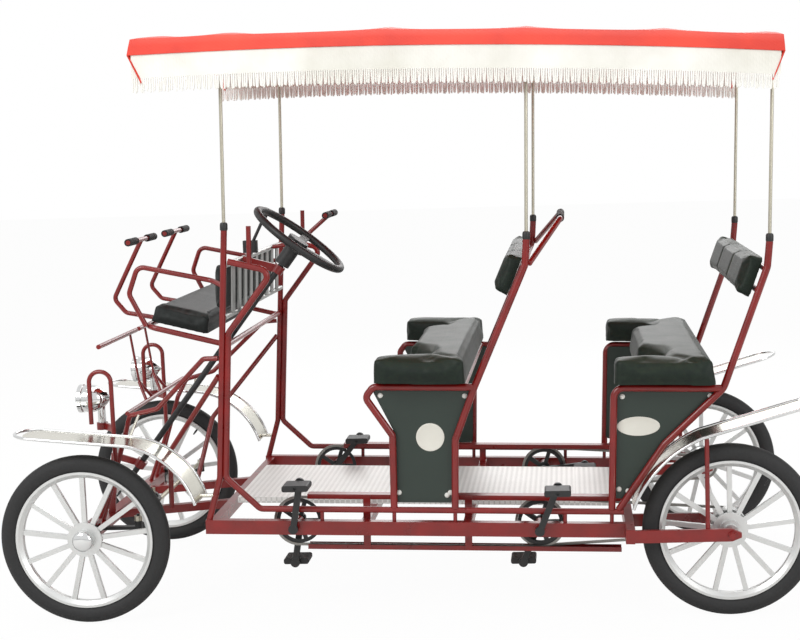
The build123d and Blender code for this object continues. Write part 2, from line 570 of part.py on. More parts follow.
# Bench cushions: a saddle nose at each end over the rail, leg notches and a rounded middle lobe
CUSHION_THICK = 100.0
CUSHION_HALF = 602.0
NOSE_WIDTH = 118.0
NOTCH_DEPTH = 92.0
NOTCH_INNER = 372.0
LOBE_HALF = 250.0
CUSHION_ROWS = {  # nose front, middle front, rear edge
    "front": (-112.0, -22.0, 222.0),
    "rear": (722.0, 808.0, 1084.0),
}
for row, (nose_x, middle_x, rear_x) in CUSHION_ROWS.items():
    nose_inner = CUSHION_HALF - NOSE_WIDTH
    notch_x = middle_x + NOTCH_DEPTH
    with BuildPart() as cushion:
        with BuildSketch(deck_plane(BENCH_TOP + BED_GAP)) as plan:
            with BuildLine():
                FilletPolyline(
                    (nose_x, CUSHION_HALF), (nose_x, nose_inner), (notch_x, nose_inner - 24),
                    (notch_x, NOTCH_INNER),
                    (middle_x, LOBE_HALF), (middle_x, -LOBE_HALF), (notch_x, -NOTCH_INNER),
                    (notch_x, 24 - nose_inner),
                    (nose_x, -nose_inner), (nose_x, -CUSHION_HALF),
                    (rear_x, -CUSHION_HALF), (rear_x, CUSHION_HALF), radius=30.0, close=True)
            make_face()
        extrude(plan.sketch, amount=CUSHION_THICK)
        fillet(cushion.faces().sort_by(Axis.Z)[-1].edges(), 20.0)
    cushion.part.label = f"{row}_cushion"
    export_step(cushion.part, f"parts/{row}_cushion.step")

# Backrest pads in front of the back bars
PAD_HEIGHT = 160.0
PAD_THICK = 62.0
PAD_HALF = 500.0
for row in BENCH_ROWS:
    middle_z = sum(BACK_BAR_Z) / 2
    low, high = BENCH_ROWS[row][1][2:4]
    up = (leaned(high[0], 0, high[1]) - leaned(low[0], 0, low[1])).normalized()
    ahead = Vector(0, 1, 0).cross(up).normalized() * -1
    seat = leaned(back_x(row, middle_z), 0, middle_z) + ahead * (BAR_RADIUS + BED_GAP)
    with BuildPart() as backrest:
        with BuildSketch(Plane(origin=seat, x_dir=(0, 1, 0), z_dir=ahead)) as pad:
            RectangleRounded(2 * PAD_HALF, PAD_HEIGHT, 30)
        extrude(pad.sketch, amount=PAD_THICK)
        fillet(backrest.faces().sort_by(Axis((0, 0, 0), ahead))[-1].edges(), 18.0)
    backrest.part.label = f"{row}_backrest"
    export_step(backrest.part, f"parts/{row}_backrest.step")

# Grab bar for the rear riders, from the front bench's back tubes
GRAB_TUBE = 10.0
GRAB_X, GRAB_HALF, GRAB_Z = 540.0, 240.0, 1399.0
with BuildPart() as grab_bar:
    grab_run = [(436.0, -RAIL_Y, 1262.0), (GRAB_X, -GRAB_HALF, GRAB_Z), (GRAB_X, GRAB_HALF, GRAB_Z),
                (436.0, RAIL_Y, 1262.0)]
    tube([leaned(*point) for point in grab_run], GRAB_TUBE, 40.0)
    for side in SIDES.values():
        tube([leaned(x, side * RAIL_Y, z) for x, z in BENCH_ROWS["front"][1]], SEAT_TUBE + WELD_GAP,
             BENCH_BENDS["front"][1], mode=Mode.SUBTRACT)
grab_bar.part.label = "grab_bar"
export_step(grab_bar.part, "parts/grab_bar.step")

# Canopy: arched along its length and across its width
CANOPY_MIDDLE = (CANOPY_FRONT + CANOPY_REAR) / 2
CANOPY_HALF_LENGTH = (CANOPY_REAR - CANOPY_FRONT) / 2
BOW_RADIUS = 7.0
BOW_HALF = CANOPY_HALF_WIDTH - 14.0
BOW_END = BOW_HALF - 4.4
BOW_STATIONS = (CANOPY_FRONT + 40, POST_X, -60.0, MID_POST_X, 905.0, REAR_POST_X)
BOW_POINTS = (-BOW_END, SHOULDER_IN - BOW_HALF, -300.0, 0.0, 300.0, BOW_HALF - SHOULDER_IN, BOW_END)
BOW_DROP = ROOF_SKIN + BOW_RADIUS + 0.5


# Height of the eave along the length
def eave(x):
    return EAVE_Z + EAVE_ARCH * (1 - ((x - CANOPY_MIDDLE) / CANOPY_HALF_LENGTH) ** 2)


# Height of a bow's centre line across the width
def bow_height(x, y):
    shoulder_y = BOW_HALF - SHOULDER_IN
    if abs(y) > shoulder_y:
        rise = SHOULDER_RISE * (BOW_HALF - abs(y)) / SHOULDER_IN
    else:
        rise = ROOF_RISE - (ROOF_RISE - SHOULDER_RISE) * (y / shoulder_y) ** 2
    return eave(x) - BOW_DROP + rise


POLE_ROWS = ((POST_X, SOCKET_TOP), (MID_POST_X, 1345.0), (REAR_POST_X, 1337.0))  # station, socket top
with BuildPart() as canopy_poles:
    for x, socket_top in POLE_ROWS:
        for side in SIDES.values():
            top = bow_height(x, RAIL_Y) - BOW_RADIUS - 2.2
            rod(leaned(x, side * RAIL_Y, socket_top - SOCKET_DEPTH + 2), leaned(x, side * RAIL_Y, top),
                POLE_RADIUS)
canopy_poles.part.label = "canopy_poles"
export_step(canopy_poles.part, "parts/canopy_poles.step")

EDGE_INSET = 8.0
with BuildPart() as canopy_frame:
    for side in SIDES.values():
        y = side * BOW_HALF
        ends = [leaned(x, y, eave(x) - BOW_DROP) for x in (CANOPY_FRONT + EDGE_INSET,
                                                           CANOPY_REAR - EDGE_INSET)]
        with BuildLine() as edge:
            ThreePointArc(ends[0], leaned(CANOPY_MIDDLE, y, eave(CANOPY_MIDDLE) - BOW_DROP), ends[1])
        run = edge.wire()
        with BuildSketch(Plane(origin=run @ 0, z_dir=run % 0)) as section:
            Circle(BOW_RADIUS)
        sweep(sections=section.sketch, path=run)
    for x in BOW_STATIONS:
        tube([leaned(x, y, bow_height(x, y)) for y in BOW_POINTS], BOW_RADIUS, 24.0)
canopy_frame.part.label = "canopy_frame"
export_step(canopy_frame.part, "parts/canopy_frame.step")

with BuildPart() as canopy_top:
    for grow, hem, mode in ((0.0, -8.0, Mode.ADD), (ROOF_SKIN, -40.0, Mode.SUBTRACT)):
        front_x, rear_x = CANOPY_FRONT + grow, CANOPY_REAR - grow
        with BuildLine() as ridge:
            ThreePointArc(*[leaned(x, 0, eave(x)) for x in (front_x, CANOPY_MIDDLE, rear_x)])
        run = ridge.wire()
        with BuildSketch(Plane(origin=run @ 0, x_dir=(0, 1, 0), z_dir=run % 0)) as roof:
            with BuildLine():
                half = CANOPY_HALF_WIDTH - grow
                shoulder = (half - SHOULDER_IN, SHOULDER_RISE - grow)
                ThreePointArc((-shoulder[0], shoulder[1]), (0, ROOF_RISE - grow), shoulder)
                Polyline(shoulder, (half, 0), (half, hem), (-half, hem), (-half, 0),
                         (-shoulder[0], shoulder[1]))
            make_face()
        sweep(sections=roof.sketch, path=run, mode=mode)
canopy_top.part.label = "canopy_top"
export_step(canopy_top.part, "parts/canopy_top.step")

# Valance and fringe: thin curtains hung from the eaves
VALANCE_SKIN = 2.0
with BuildPart() as canopy_valance:
    for side in SIDES.values():
        outer = CANOPY_HALF_WIDTH - ROOF_SKIN - WELD_GAP
        with BuildSketch(side_plane(side * outer if side > 0 else -outer + VALANCE_SKIN)) as curtain:
            with BuildLine():
                front_x, rear_x = CANOPY_FRONT + 12, CANOPY_REAR - 12
                rise = ThreePointArc((front_x, eave(front_x)), (CANOPY_MIDDLE, eave(CANOPY_MIDDLE)),
                                     (rear_x, eave(rear_x)))
                fall = ThreePointArc((rear_x, eave(rear_x) - VALANCE_DROP),
                                     (CANOPY_MIDDLE, eave(CANOPY_MIDDLE) - VALANCE_DROP),
                                     (front_x, eave(front_x) - VALANCE_DROP))
                Line(rise @ 1, fall @ 0)
                Line(fall @ 1, rise @ 0)
            make_face()
        extrude(curtain.sketch, amount=VALANCE_SKIN)
canopy_valance.part.label = "canopy_valance"
export_step(canopy_valance.part, "parts/canopy_valance.step")

# Child seat ahead of the uprights: a bent tube tray with arm rails
CHILD_INSET = 75.0     # the tray's sides inside the uprights
CHILD_HALF = RAIL_Y - CHILD_INSET
CHILD_TUBE = 10.0
CHILD_FRONT = (-906.0, 1054.0)
CHILD_REAR = (-617.0, 980.0)
POST_FACE = RAIL_Y - TUBE - WELD_GAP
with BuildPart() as child_seat_frame:
    tray_run = [(CHILD_REAR[0], -CHILD_HALF, CHILD_REAR[1]), (CHILD_FRONT[0], -CHILD_HALF, CHILD_FRONT[1]),
                (CHILD_FRONT[0], CHILD_HALF, CHILD_FRONT[1]), (CHILD_REAR[0], CHILD_HALF, CHILD_REAR[1])]
    tube(tray_run, CHILD_TUBE, 40.0)
    rod((CHILD_REAR[0], -POST_FACE, CHILD_REAR[1]), (CHILD_REAR[0], POST_FACE, CHILD_REAR[1]), CHILD_TUBE)
    for side in SIDES.values():
        y = side * CHILD_HALF
        arm_run = [(-606.0, side * POST_FACE, 1196.0), (-660.0, y, 1211.0), (-925.0, y, 1268.0),
                   (-962.0, y, 1170.0), (CHILD_FRONT[0], y, CHILD_FRONT[1])]
        tube(arm_run, CHILD_TUBE - 1, 30.0)
    for side in SIDES.values():
        for shift in (0, PAIR_X):
            rod(leaned(POST_X - 36 + shift, side * RAIL_Y, SPLIT_Z),
                leaned(POST_X + shift, side * RAIL_Y, SOCKET_TOP),
                TUBE + WELD_GAP, mode=Mode.SUBTRACT)
child_seat_frame.part.label = "child_seat_frame"
export_step(child_seat_frame.part, "parts/child_seat_frame.step")

CHILD_PAD_THICK = 70.0
CHILD_PAD_GAP = 9.0    # pads inside the tray's side tubes
CHILD_PAD_HALF = CHILD_HALF - CHILD_TUBE - CHILD_PAD_GAP
CHILD_PAD_LENGTH = 222.0
tray_dir = Vector(CHILD_REAR[0] - CHILD_FRONT[0], 0, CHILD_REAR[1] - CHILD_FRONT[1]).normalized()
tray_up = tray_dir.cross(Vector(0, 1, 0)).normalized()
tray_middle = Vector(CHILD_FRONT[0], 0, CHILD_FRONT[1]) + tray_dir * (CHILD_PAD_LENGTH / 2 - 2)
with BuildPart() as child_seat_pad:
    with BuildSketch(Plane(origin=tray_middle + tray_up * (CHILD_TUBE + BED_GAP), x_dir=tray_dir,
                           z_dir=tray_up)) as pad:
        RectangleRounded(CHILD_PAD_LENGTH, 2 * CHILD_PAD_HALF, 24)
    extrude(pad.sketch, amount=CHILD_PAD_THICK)
    fillet(child_seat_pad.faces().sort_by(Axis((0, 0, 0), tray_up))[-1].edges(), 14.0)
child_seat_pad.part.label = "child_seat_pad"
export_step(child_seat_pad.part, "parts/child_seat_pad.step")

# Dash: two cross bars between the uprights, and upright slats
DASH_LOW = (-610.0, 1085.0)
DASH_TOP = (-601.0, 1268.0)
DASH_BAR = 10.0
SLAT_COUNT = 9
SLAT_PITCH = 100.0
SLAT_WIDTH = 46.0
SLAT_SKIN = 5.0
UPPER_BEARING_AT = 134.0
with BuildPart() as dash:
    for x, z in (DASH_LOW, DASH_TOP):
        rod((x, -POST_FACE, z), (x, POST_FACE, z), DASH_BAR)
    for index in range(SLAT_COUNT):
        y = (index - (SLAT_COUNT - 1) / 2) * SLAT_PITCH
        bar((DASH_LOW[0] + DASH_BAR - 3, y, DASH_LOW[1] - 6),
            (DASH_TOP[0] + DASH_BAR - 3, y, DASH_TOP[1] + 6),
            SLAT_WIDTH, SLAT_SKIN)
dash.part.label = "dash"
export_step(dash.part, "parts/dash.step")

# The steering column's upper bearing, on an arm from the dash's top bar
with BuildPart() as column_bracket:
    upper = STEER_POINT - COLUMN_DIR * UPPER_BEARING_AT
    bar((DASH_TOP[0] + 8.5, STEER_POINT.Y, DASH_TOP[1] - 2.5), (upper.X, STEER_POINT.Y, upper.Z), 16, 30)
    rod(upper - COLUMN_DIR * BEARING_LENGTH / 2, upper + COLUMN_DIR * BEARING_LENGTH / 2, BEARING_RADIUS)
    rod(upper - COLUMN_DIR * BEARING_LENGTH, upper + COLUMN_DIR * BEARING_LENGTH,
        COLUMN_RADIUS + RUNNING_GAP, mode=Mode.SUBTRACT)
    rod((DASH_TOP[0], STEER_POINT.Y - BEARING_LENGTH, DASH_TOP[1]),
        (DASH_TOP[0], STEER_POINT.Y + BEARING_LENGTH, DASH_TOP[1]),
        DASH_BAR + WELD_GAP, mode=Mode.SUBTRACT)
    bar((DASH_LOW[0] + DASH_BAR - 3, STEER_POINT.Y, DASH_LOW[1] - 6),
        (DASH_TOP[0] + DASH_BAR - 3, STEER_POINT.Y, DASH_TOP[1] + 6), 4 * SLAT_WIDTH,
        SLAT_SKIN + 2 * WELD_GAP,
        mode=Mode.SUBTRACT)
column_bracket.part.label = "column_bracket"
export_step(column_bracket.part, "parts/column_bracket.step")

CHILD_BACK_THICK = 46.0
back_up = (Vector(DASH_TOP[0], 0, DASH_TOP[1]) - Vector(DASH_LOW[0], 0, DASH_LOW[1])).normalized()
back_ahead = back_up.cross(Vector(0, 1, 0)).normalized()
CHILD_BACK_HEIGHT = 172.0
back_middle = Vector(*[a + b * 100 for a, b in zip((DASH_LOW[0], 0, DASH_LOW[1]), back_up)])
with BuildPart() as child_seat_back:
    with BuildSketch(Plane(origin=back_middle + back_ahead * (DASH_BAR + BED_GAP), x_dir=(0, 1, 0),
                           z_dir=back_ahead)) as pad:
        RectangleRounded(2 * CHILD_PAD_HALF, CHILD_BACK_HEIGHT, 24)
    extrude(pad.sketch, amount=CHILD_BACK_THICK)
    fillet(child_seat_back.faces().sort_by(Axis((0, 0, 0), back_ahead))[-1].edges(), 14.0)
child_seat_back.part.label = "child_seat_back"
export_step(child_seat_back.part, "parts/child_seat_back.step")

# Two child handlebars curving up from the tray's front tube
CHILD_PLACE_Y = 243.0
HANDLE_TUBE = 8.5
HANDLE_BAR = (-968.0, 1350.0)
HANDLE_HALF = 168.0
HANDLE_STEM = ((-1040.0, 1080.0), (-1082.0, 1132.0), (-1052.0, 1190.0), HANDLE_BAR)
HANDLE_BEND = 26.0
with BuildPart() as child_handlebars:
    for side in SIDES.values():
        y = side * CHILD_PLACE_Y
        stem = [(CHILD_FRONT[0] - CHILD_TUBE + 1, y, CHILD_FRONT[1] + 2)] + [(x, y, z) for x,
                                                                             z in HANDLE_STEM]
        tube(stem, HANDLE_TUBE, HANDLE_BEND)
        rod((HANDLE_BAR[0], y - HANDLE_HALF, HANDLE_BAR[1]), (HANDLE_BAR[0], y + HANDLE_HALF, HANDLE_BAR[1]),
            HANDLE_TUBE)
    rod((CHILD_FRONT[0], -CHILD_HALF + 45, CHILD_FRONT[1]), (CHILD_FRONT[0], CHILD_HALF - 45, CHILD_FRONT[1]),
        CHILD_TUBE + WELD_GAP, mode=Mode.SUBTRACT)
child_handlebars.part.label = "child_handlebars"
export_step(child_handlebars.part, "parts/child_handlebars.step")

# Passenger bar on the dash, a stem with a short cross bar
PASSENGER_BAR = (-352.0, 1398.0)
PASSENGER_HALF = 120.0
PASSENGER_Y = CHILD_PLACE_Y + 57
with BuildPart() as passenger_bar:
    stem = [(DASH_TOP[0] + DASH_BAR, PASSENGER_Y, DASH_TOP[1] + 4), (-490.0, PASSENGER_Y, 1282.0),
            (PASSENGER_BAR[0], PASSENGER_Y, PASSENGER_BAR[1])]
    tube(stem, HANDLE_TUBE, 40.0)
    rod((PASSENGER_BAR[0], PASSENGER_Y - PASSENGER_HALF, PASSENGER_BAR[1]),
        (PASSENGER_BAR[0], PASSENGER_Y + PASSENGER_HALF, PASSENGER_BAR[1]), HANDLE_TUBE)
passenger_bar.part.label = "passenger_bar"
export_step(passenger_bar.part, "parts/passenger_bar.step")

# Rubber and foam grips on every hand bar
GRIP_WALL = 5.0
GRIP_LENGTH = 96.0
GRIP_ROWS = [  # centre of the grip, bar radius, length
    (leaned(GRAB_X, 0, GRAB_Z), GRAB_TUBE, 2 * GRAB_HALF - 90)]
for side in SIDES.values():
    for end in (-1, 1):
        grip_y = side * CHILD_PLACE_Y + end * (HANDLE_HALF - GRIP_LENGTH / 2)
        GRIP_ROWS.append((Vector(HANDLE_BAR[0], grip_y, HANDLE_BAR[1]), HANDLE_TUBE, GRIP_LENGTH))
for end in (-1, 1):
    grip_y = PASSENGER_Y + end * (PASSENGER_HALF - GRIP_LENGTH / 2)
    GRIP_ROWS.append((Vector(PASSENGER_BAR[0], grip_y, PASSENGER_BAR[1]), HANDLE_TUBE, GRIP_LENGTH))
with BuildPart() as hand_grips:
    for centre, radius, length in GRIP_ROWS:
        with BuildSketch(Plane(origin=centre - Vector(0, length / 2, 0), z_dir=(0, 1, 0))) as grip:
            Circle(radius + GRIP_WALL)
            Circle(radius + WELD_GAP, mode=Mode.SUBTRACT)
        extrude(grip.sketch, amount=length)
hand_grips.part.label = "hand_grips"
export_step(hand_grips.part, "parts/hand_grips.step")

# Foot bars for the children, on struts from a cross tube between the lamp tubes
FOOT_BAR = (-1075.0, 986.0)
FOOT_HALF = 232.0
FOOT_STRUT_Y = 100.0
FOOT_CROSS = (-1012.0, 728.0)
FOOT_KNEE = (-1050.0, 800.0)
with BuildPart() as foot_bars:
    rod((FOOT_CROSS[0], -393, FOOT_CROSS[1]), (FOOT_CROSS[0], 393, FOOT_CROSS[1]), 8.0)
    for side in SIDES.values():
        knee = (FOOT_KNEE[0], side * FOOT_STRUT_Y, FOOT_KNEE[1])
        bar_y = side * (CHILD_PLACE_Y + 6)
        rod((FOOT_BAR[0], bar_y - FOOT_HALF, FOOT_BAR[1]), (FOOT_BAR[0], bar_y + FOOT_HALF, FOOT_BAR[1]), 8.5)
        rod(knee, (FOOT_BAR[0], side * FOOT_STRUT_Y, FOOT_BAR[1]), 4.5)
        for spread in (-42, 42):
            rod((knee[0], knee[1], knee[2] - 3), (FOOT_CROSS[0], knee[1] + spread, FOOT_CROSS[1]), 6.0)
foot_bars.part.label = "foot_bars"
export_step(foot_bars.part, "parts/foot_bars.step")

# Parking brake lever on the dash
LEVER_Y = -70.0
with BuildPart() as brake_lever:
    housing_z = DASH_TOP[1] + DASH_BAR + WELD_GAP
    with BuildSketch(Plane.XY.offset(housing_z)) as housing:
        with Locations((DASH_TOP[0], LEVER_Y)):
            RectangleRounded(54, 34, 8)
    extrude(housing.sketch, amount=46)
    rod((DASH_TOP[0] + 10, LEVER_Y, housing_z + 40), (DASH_TOP[0] + 66, LEVER_Y, housing_z + 150), 6)
    rod((DASH_TOP[0] + 52, LEVER_Y, housing_z + 123), (DASH_TOP[0] + 74, LEVER_Y, housing_z + 166), 11)
brake_lever.part.label = "brake_lever"
export_step(brake_lever.part, "parts/brake_lever.step")

# Steering wheel and its column with the pitman arm at the foot
WHEEL_GRIP = 14.0
HUB_DEPTH = 44.0
HUB_CAP_RADIUS = 40.0
SHROUD_LENGTH = 112.0
SHROUD_RADIUS = 28.0
wheel_plane = Plane(origin=STEER_POINT, x_dir=(0, 1, 0), z_dir=COLUMN_DIR)
with BuildPart() as steering_wheel:
    with BuildLine(wheel_plane) as hoop:
        CenterArc((0, 0), STEER_WHEEL_RADIUS, 0, 360)
    ring = hoop.wire()
    with BuildSketch(Plane(origin=ring @ 0, z_dir=ring % 0)) as section:
        Circle(WHEEL_GRIP)
    sweep(sections=section.sketch, path=ring)
    rod(STEER_POINT - COLUMN_DIR * SHROUD_LENGTH, STEER_POINT, SHROUD_RADIUS)
    rod(STEER_POINT - COLUMN_DIR * HUB_DEPTH, STEER_POINT, HUB_CAP_RADIUS)
    for angle in (0, 180, 270):
        turn = math.radians(angle)
        spoke_dir = wheel_plane.x_dir * math.cos(turn) + wheel_plane.y_dir * math.sin(turn)
        bar(STEER_POINT - COLUMN_DIR * 18, STEER_POINT + spoke_dir * STEER_WHEEL_RADIUS - COLUMN_DIR * 2,
            30, 8, across=spoke_dir.cross(COLUMN_DIR))
steering_wheel.part.label = "steering_wheel"
export_step(steering_wheel.part, "parts/steering_wheel.step")

PITMAN_DIR = Vector(math.sin(math.radians(STEER_SLOPE)), 0, -math.cos(math.radians(STEER_SLOPE)))
column_foot = STEER_POINT - COLUMN_DIR * COLUMN_FOOT
pitman_eye = column_foot + PITMAN_DIR * PITMAN
PIN_RADIUS = 6.0
EYE_CLEARANCE = 11.0
with BuildPart() as steering_column:
    rod(STEER_POINT - COLUMN_DIR * (SHROUD_LENGTH + WELD_GAP), column_foot - COLUMN_DIR * 6, COLUMN_RADIUS)
    bar(column_foot, pitman_eye, 30, 12, across=(0, 1, 0))
    rod(pitman_eye + COLUMN_DIR * 6, pitman_eye - COLUMN_DIR * 6, 30)
    rod(pitman_eye + Vector(0, 0, 40), pitman_eye - Vector(0, 0, 40), PIN_RADIUS + EYE_CLEARANCE,
        mode=Mode.SUBTRACT)
steering_column.part.label = "steering_column"
export_step(steering_column.part, "parts/steering_column.step")

# Tie rod under the pitman arm, with an eye at each steering arm
TIE_ROD_X = pitman_eye.X
TIE_ROD_Z = pitman_eye.Z - TIE_ROD_DROP
TIE_ROD_RADIUS = 8.0
ROD_END = 14.0
ROD_END_HALF = 9.0
with BuildPart() as tie_rod:
    rod((TIE_ROD_X, -KINGPIN_Y, TIE_ROD_Z), (TIE_ROD_X, KINGPIN_Y, TIE_ROD_Z), TIE_ROD_RADIUS)
    for side in SIDES.values():
        rod((TIE_ROD_X, side * KINGPIN_Y, TIE_ROD_Z - ROD_END_HALF),
            (TIE_ROD_X, side * KINGPIN_Y, TIE_ROD_Z + ROD_END_HALF),
            ROD_END)
    rod((TIE_ROD_X, STEER_POINT.Y, TIE_ROD_Z), (TIE_ROD_X, STEER_POINT.Y, TIE_ROD_Z + TIE_ROD_DROP + 30),
        PIN_RADIUS)
    for side, clearance in ((-1, RUNNING_GAP), (1, 0.4)):
        rod((TIE_ROD_X, side * KINGPIN_Y, TIE_ROD_Z - 20), (TIE_ROD_X, side * KINGPIN_Y, TIE_ROD_Z + 20),
            PIN_RADIUS + clearance, mode=Mode.SUBTRACT)
tie_rod.part.label = "tie_rod"
export_step(tie_rod.part, "parts/tie_rod.step")

# Steering knuckles: a kingpin barrel, a stub axle and a steering arm that carries the tie rod's pin
BARREL_RADIUS = 16.0
for name, side in SIDES.items():
    y = side * KINGPIN_Y
    arm_end = (TIE_ROD_X, y, STEER_ARM_Z)
    with BuildPart() as knuckle:
        rod((-AXLE_X, y, TYRE_RADIUS - BARREL_HALF), (-AXLE_X, y, TYRE_RADIUS + BARREL_HALF), BARREL_RADIUS)
        rod((-AXLE_X, y, TYRE_RADIUS), (-AXLE_X, side * (WHEEL_Y - HUB_INNER - 0.5), TYRE_RADIUS), 15)
        rod((-AXLE_X, y, TYRE_RADIUS), (-AXLE_X, side * (WHEEL_Y + HUB_OUTER + 6), TYRE_RADIUS), STUB_RADIUS)
        bar((-AXLE_X, y, STEER_ARM_Z), arm_end, 24, 12)
        rod((TIE_ROD_X, y, STEER_ARM_Z - 6), (TIE_ROD_X, y, TIE_ROD_Z - ROD_END_HALF - 0.3), 13)
        rod((TIE_ROD_X, y, STEER_ARM_Z), (TIE_ROD_X, y, TIE_ROD_Z + ROD_END_HALF + 6), PIN_RADIUS)
        rod((-AXLE_X, y, TYRE_RADIUS - 2 * BARREL_HALF), (-AXLE_X, y, TYRE_RADIUS + 2 * BARREL_HALF),
            KINGPIN_RADIUS + RUNNING_GAP, mode=Mode.SUBTRACT)
    knuckle.part.label = f"knuckle_{name}"
    export_step(knuckle.part, f"parts/knuckle_{name}.step")

# Wheels: cast rim, thirteen spokes and hub, with a tyre seated between the rim's edges
SPOKE_COUNT = 13
SPOKE_WIDTH = 17.0
SPOKE_DEPTH = 15.0
RIM_WIDTH = 44.0
RIM_DEPTH = 22.0
RIM_EDGE = 5.0
HUB_RADIUS = 37.0
HUB_FLANGE = 62.0
DRUM_RADIUS = 64.0
REAR_HUB_RADIUS = 24.0
for end, axle_x in (("front", -AXLE_X), ("rear", AXLE_X)):
    for name, side in SIDES.items():
        centre = Vector(axle_x, side * WHEEL_Y, TYRE_RADIUS)
        axle = Axis(centre, (0, 1, 0))
        profile_plane = Plane(origin=centre, x_dir=(0, 1, 0), z_dir=(1, 0, 0))
        seat_radius = RIM_RADIUS - RIM_EDGE
        with BuildPart() as wheel:
            with BuildSketch(profile_plane) as rim:
                with BuildLine():
                    Polyline((-RIM_WIDTH / 2, RIM_RADIUS), (-RIM_WIDTH / 2 + RIM_EDGE, RIM_RADIUS),
                             (-RIM_WIDTH / 2 + RIM_EDGE, seat_radius),
                             (RIM_WIDTH / 2 - RIM_EDGE, seat_radius),
                             (RIM_WIDTH / 2 - RIM_EDGE, RIM_RADIUS), (RIM_WIDTH / 2, RIM_RADIUS),
                             (RIM_WIDTH / 2, seat_radius - 4), (10, RIM_RADIUS - RIM_DEPTH),
                             (-10, RIM_RADIUS - RIM_DEPTH), (-RIM_WIDTH / 2, seat_radius - 4), close=True)
                make_face()
            revolve(rim.sketch, axis=axle)
            for index in range(SPOKE_COUNT):
                turn = math.radians(90 + index * 360 / SPOKE_COUNT)
                out = Vector(math.cos(turn), 0, math.sin(turn))
                bar(centre + out * (HUB_RADIUS - 8), centre + out * (RIM_RADIUS - RIM_DEPTH + 3), SPOKE_WIDTH,
                    SPOKE_DEPTH, across=out.cross(Vector(0, 1, 0)))
            outer_face = centre + Vector(0, side * HUB_OUTER, 0)
            if end == "front":
                rod(centre - Vector(0, side * HUB_INNER, 0), outer_face, HUB_RADIUS)
            else:
                inner_y = FORK_INNER_Y + FORK_WIDTH / 2 + 1.0
                rod(Vector(axle_x, side * inner_y, TYRE_RADIUS), outer_face, REAR_HUB_RADIUS)
                rod(centre - Vector(0, side * 16, 0), centre + Vector(0, side * 24, 0), HUB_RADIUS)
                rod(centre - Vector(0, side * 70, 0), centre - Vector(0, side * 22, 0), DRUM_RADIUS)
                rod(Vector(axle_x, side * (DRIVE_Y - 2), TYRE_RADIUS),
                    Vector(axle_x, side * (DRIVE_Y + 2), TYRE_RADIUS),
                    SPROCKET_RADIUS)
            rod(centre + Vector(0, side * 8, 0), centre + Vector(0, side * 14, 0), HUB_FLANGE)
            rod(centre - Vector(0, side * 200, 0), centre + Vector(0, side * 100, 0),
                STUB_RADIUS + RUNNING_GAP,
                mode=Mode.SUBTRACT)
        wheel.part.label = f"wheel_{end}_{name}"
        export_step(wheel.part, f"parts/wheel_{end}_{name}.step")

        with BuildPart() as tyre:
            with BuildSketch(profile_plane) as section:
                with BuildLine():
                    bead = RIM_WIDTH / 2 - RIM_EDGE - WELD_GAP
                    inner = seat_radius + WELD_GAP
                    lip = RIM_RADIUS + 1.0
                    left = Polyline((bead, inner), (-bead, inner), (-bead, lip))
                    ThreePointArc(left @ 1, (-TYRE_WIDTH / 2, (lip + TYRE_RADIUS) / 2 + 2),
                                  (-16, TYRE_RADIUS - 5))
                    ThreePointArc((-16, TYRE_RADIUS - 5), (0, TYRE_RADIUS), (16, TYRE_RADIUS - 5))
                    ThreePointArc((16, TYRE_RADIUS - 5), (TYRE_WIDTH / 2, (lip + TYRE_RADIUS) / 2 + 2),
                                  (bead, lip))
                    Line((bead, lip), (bead, inner))
                make_face()
            revolve(section.sketch, axis=axle)
        tyre.part.label = f"tyre_{end}_{name}"
        export_step(tyre.part, f"parts/tyre_{end}_{name}.step")

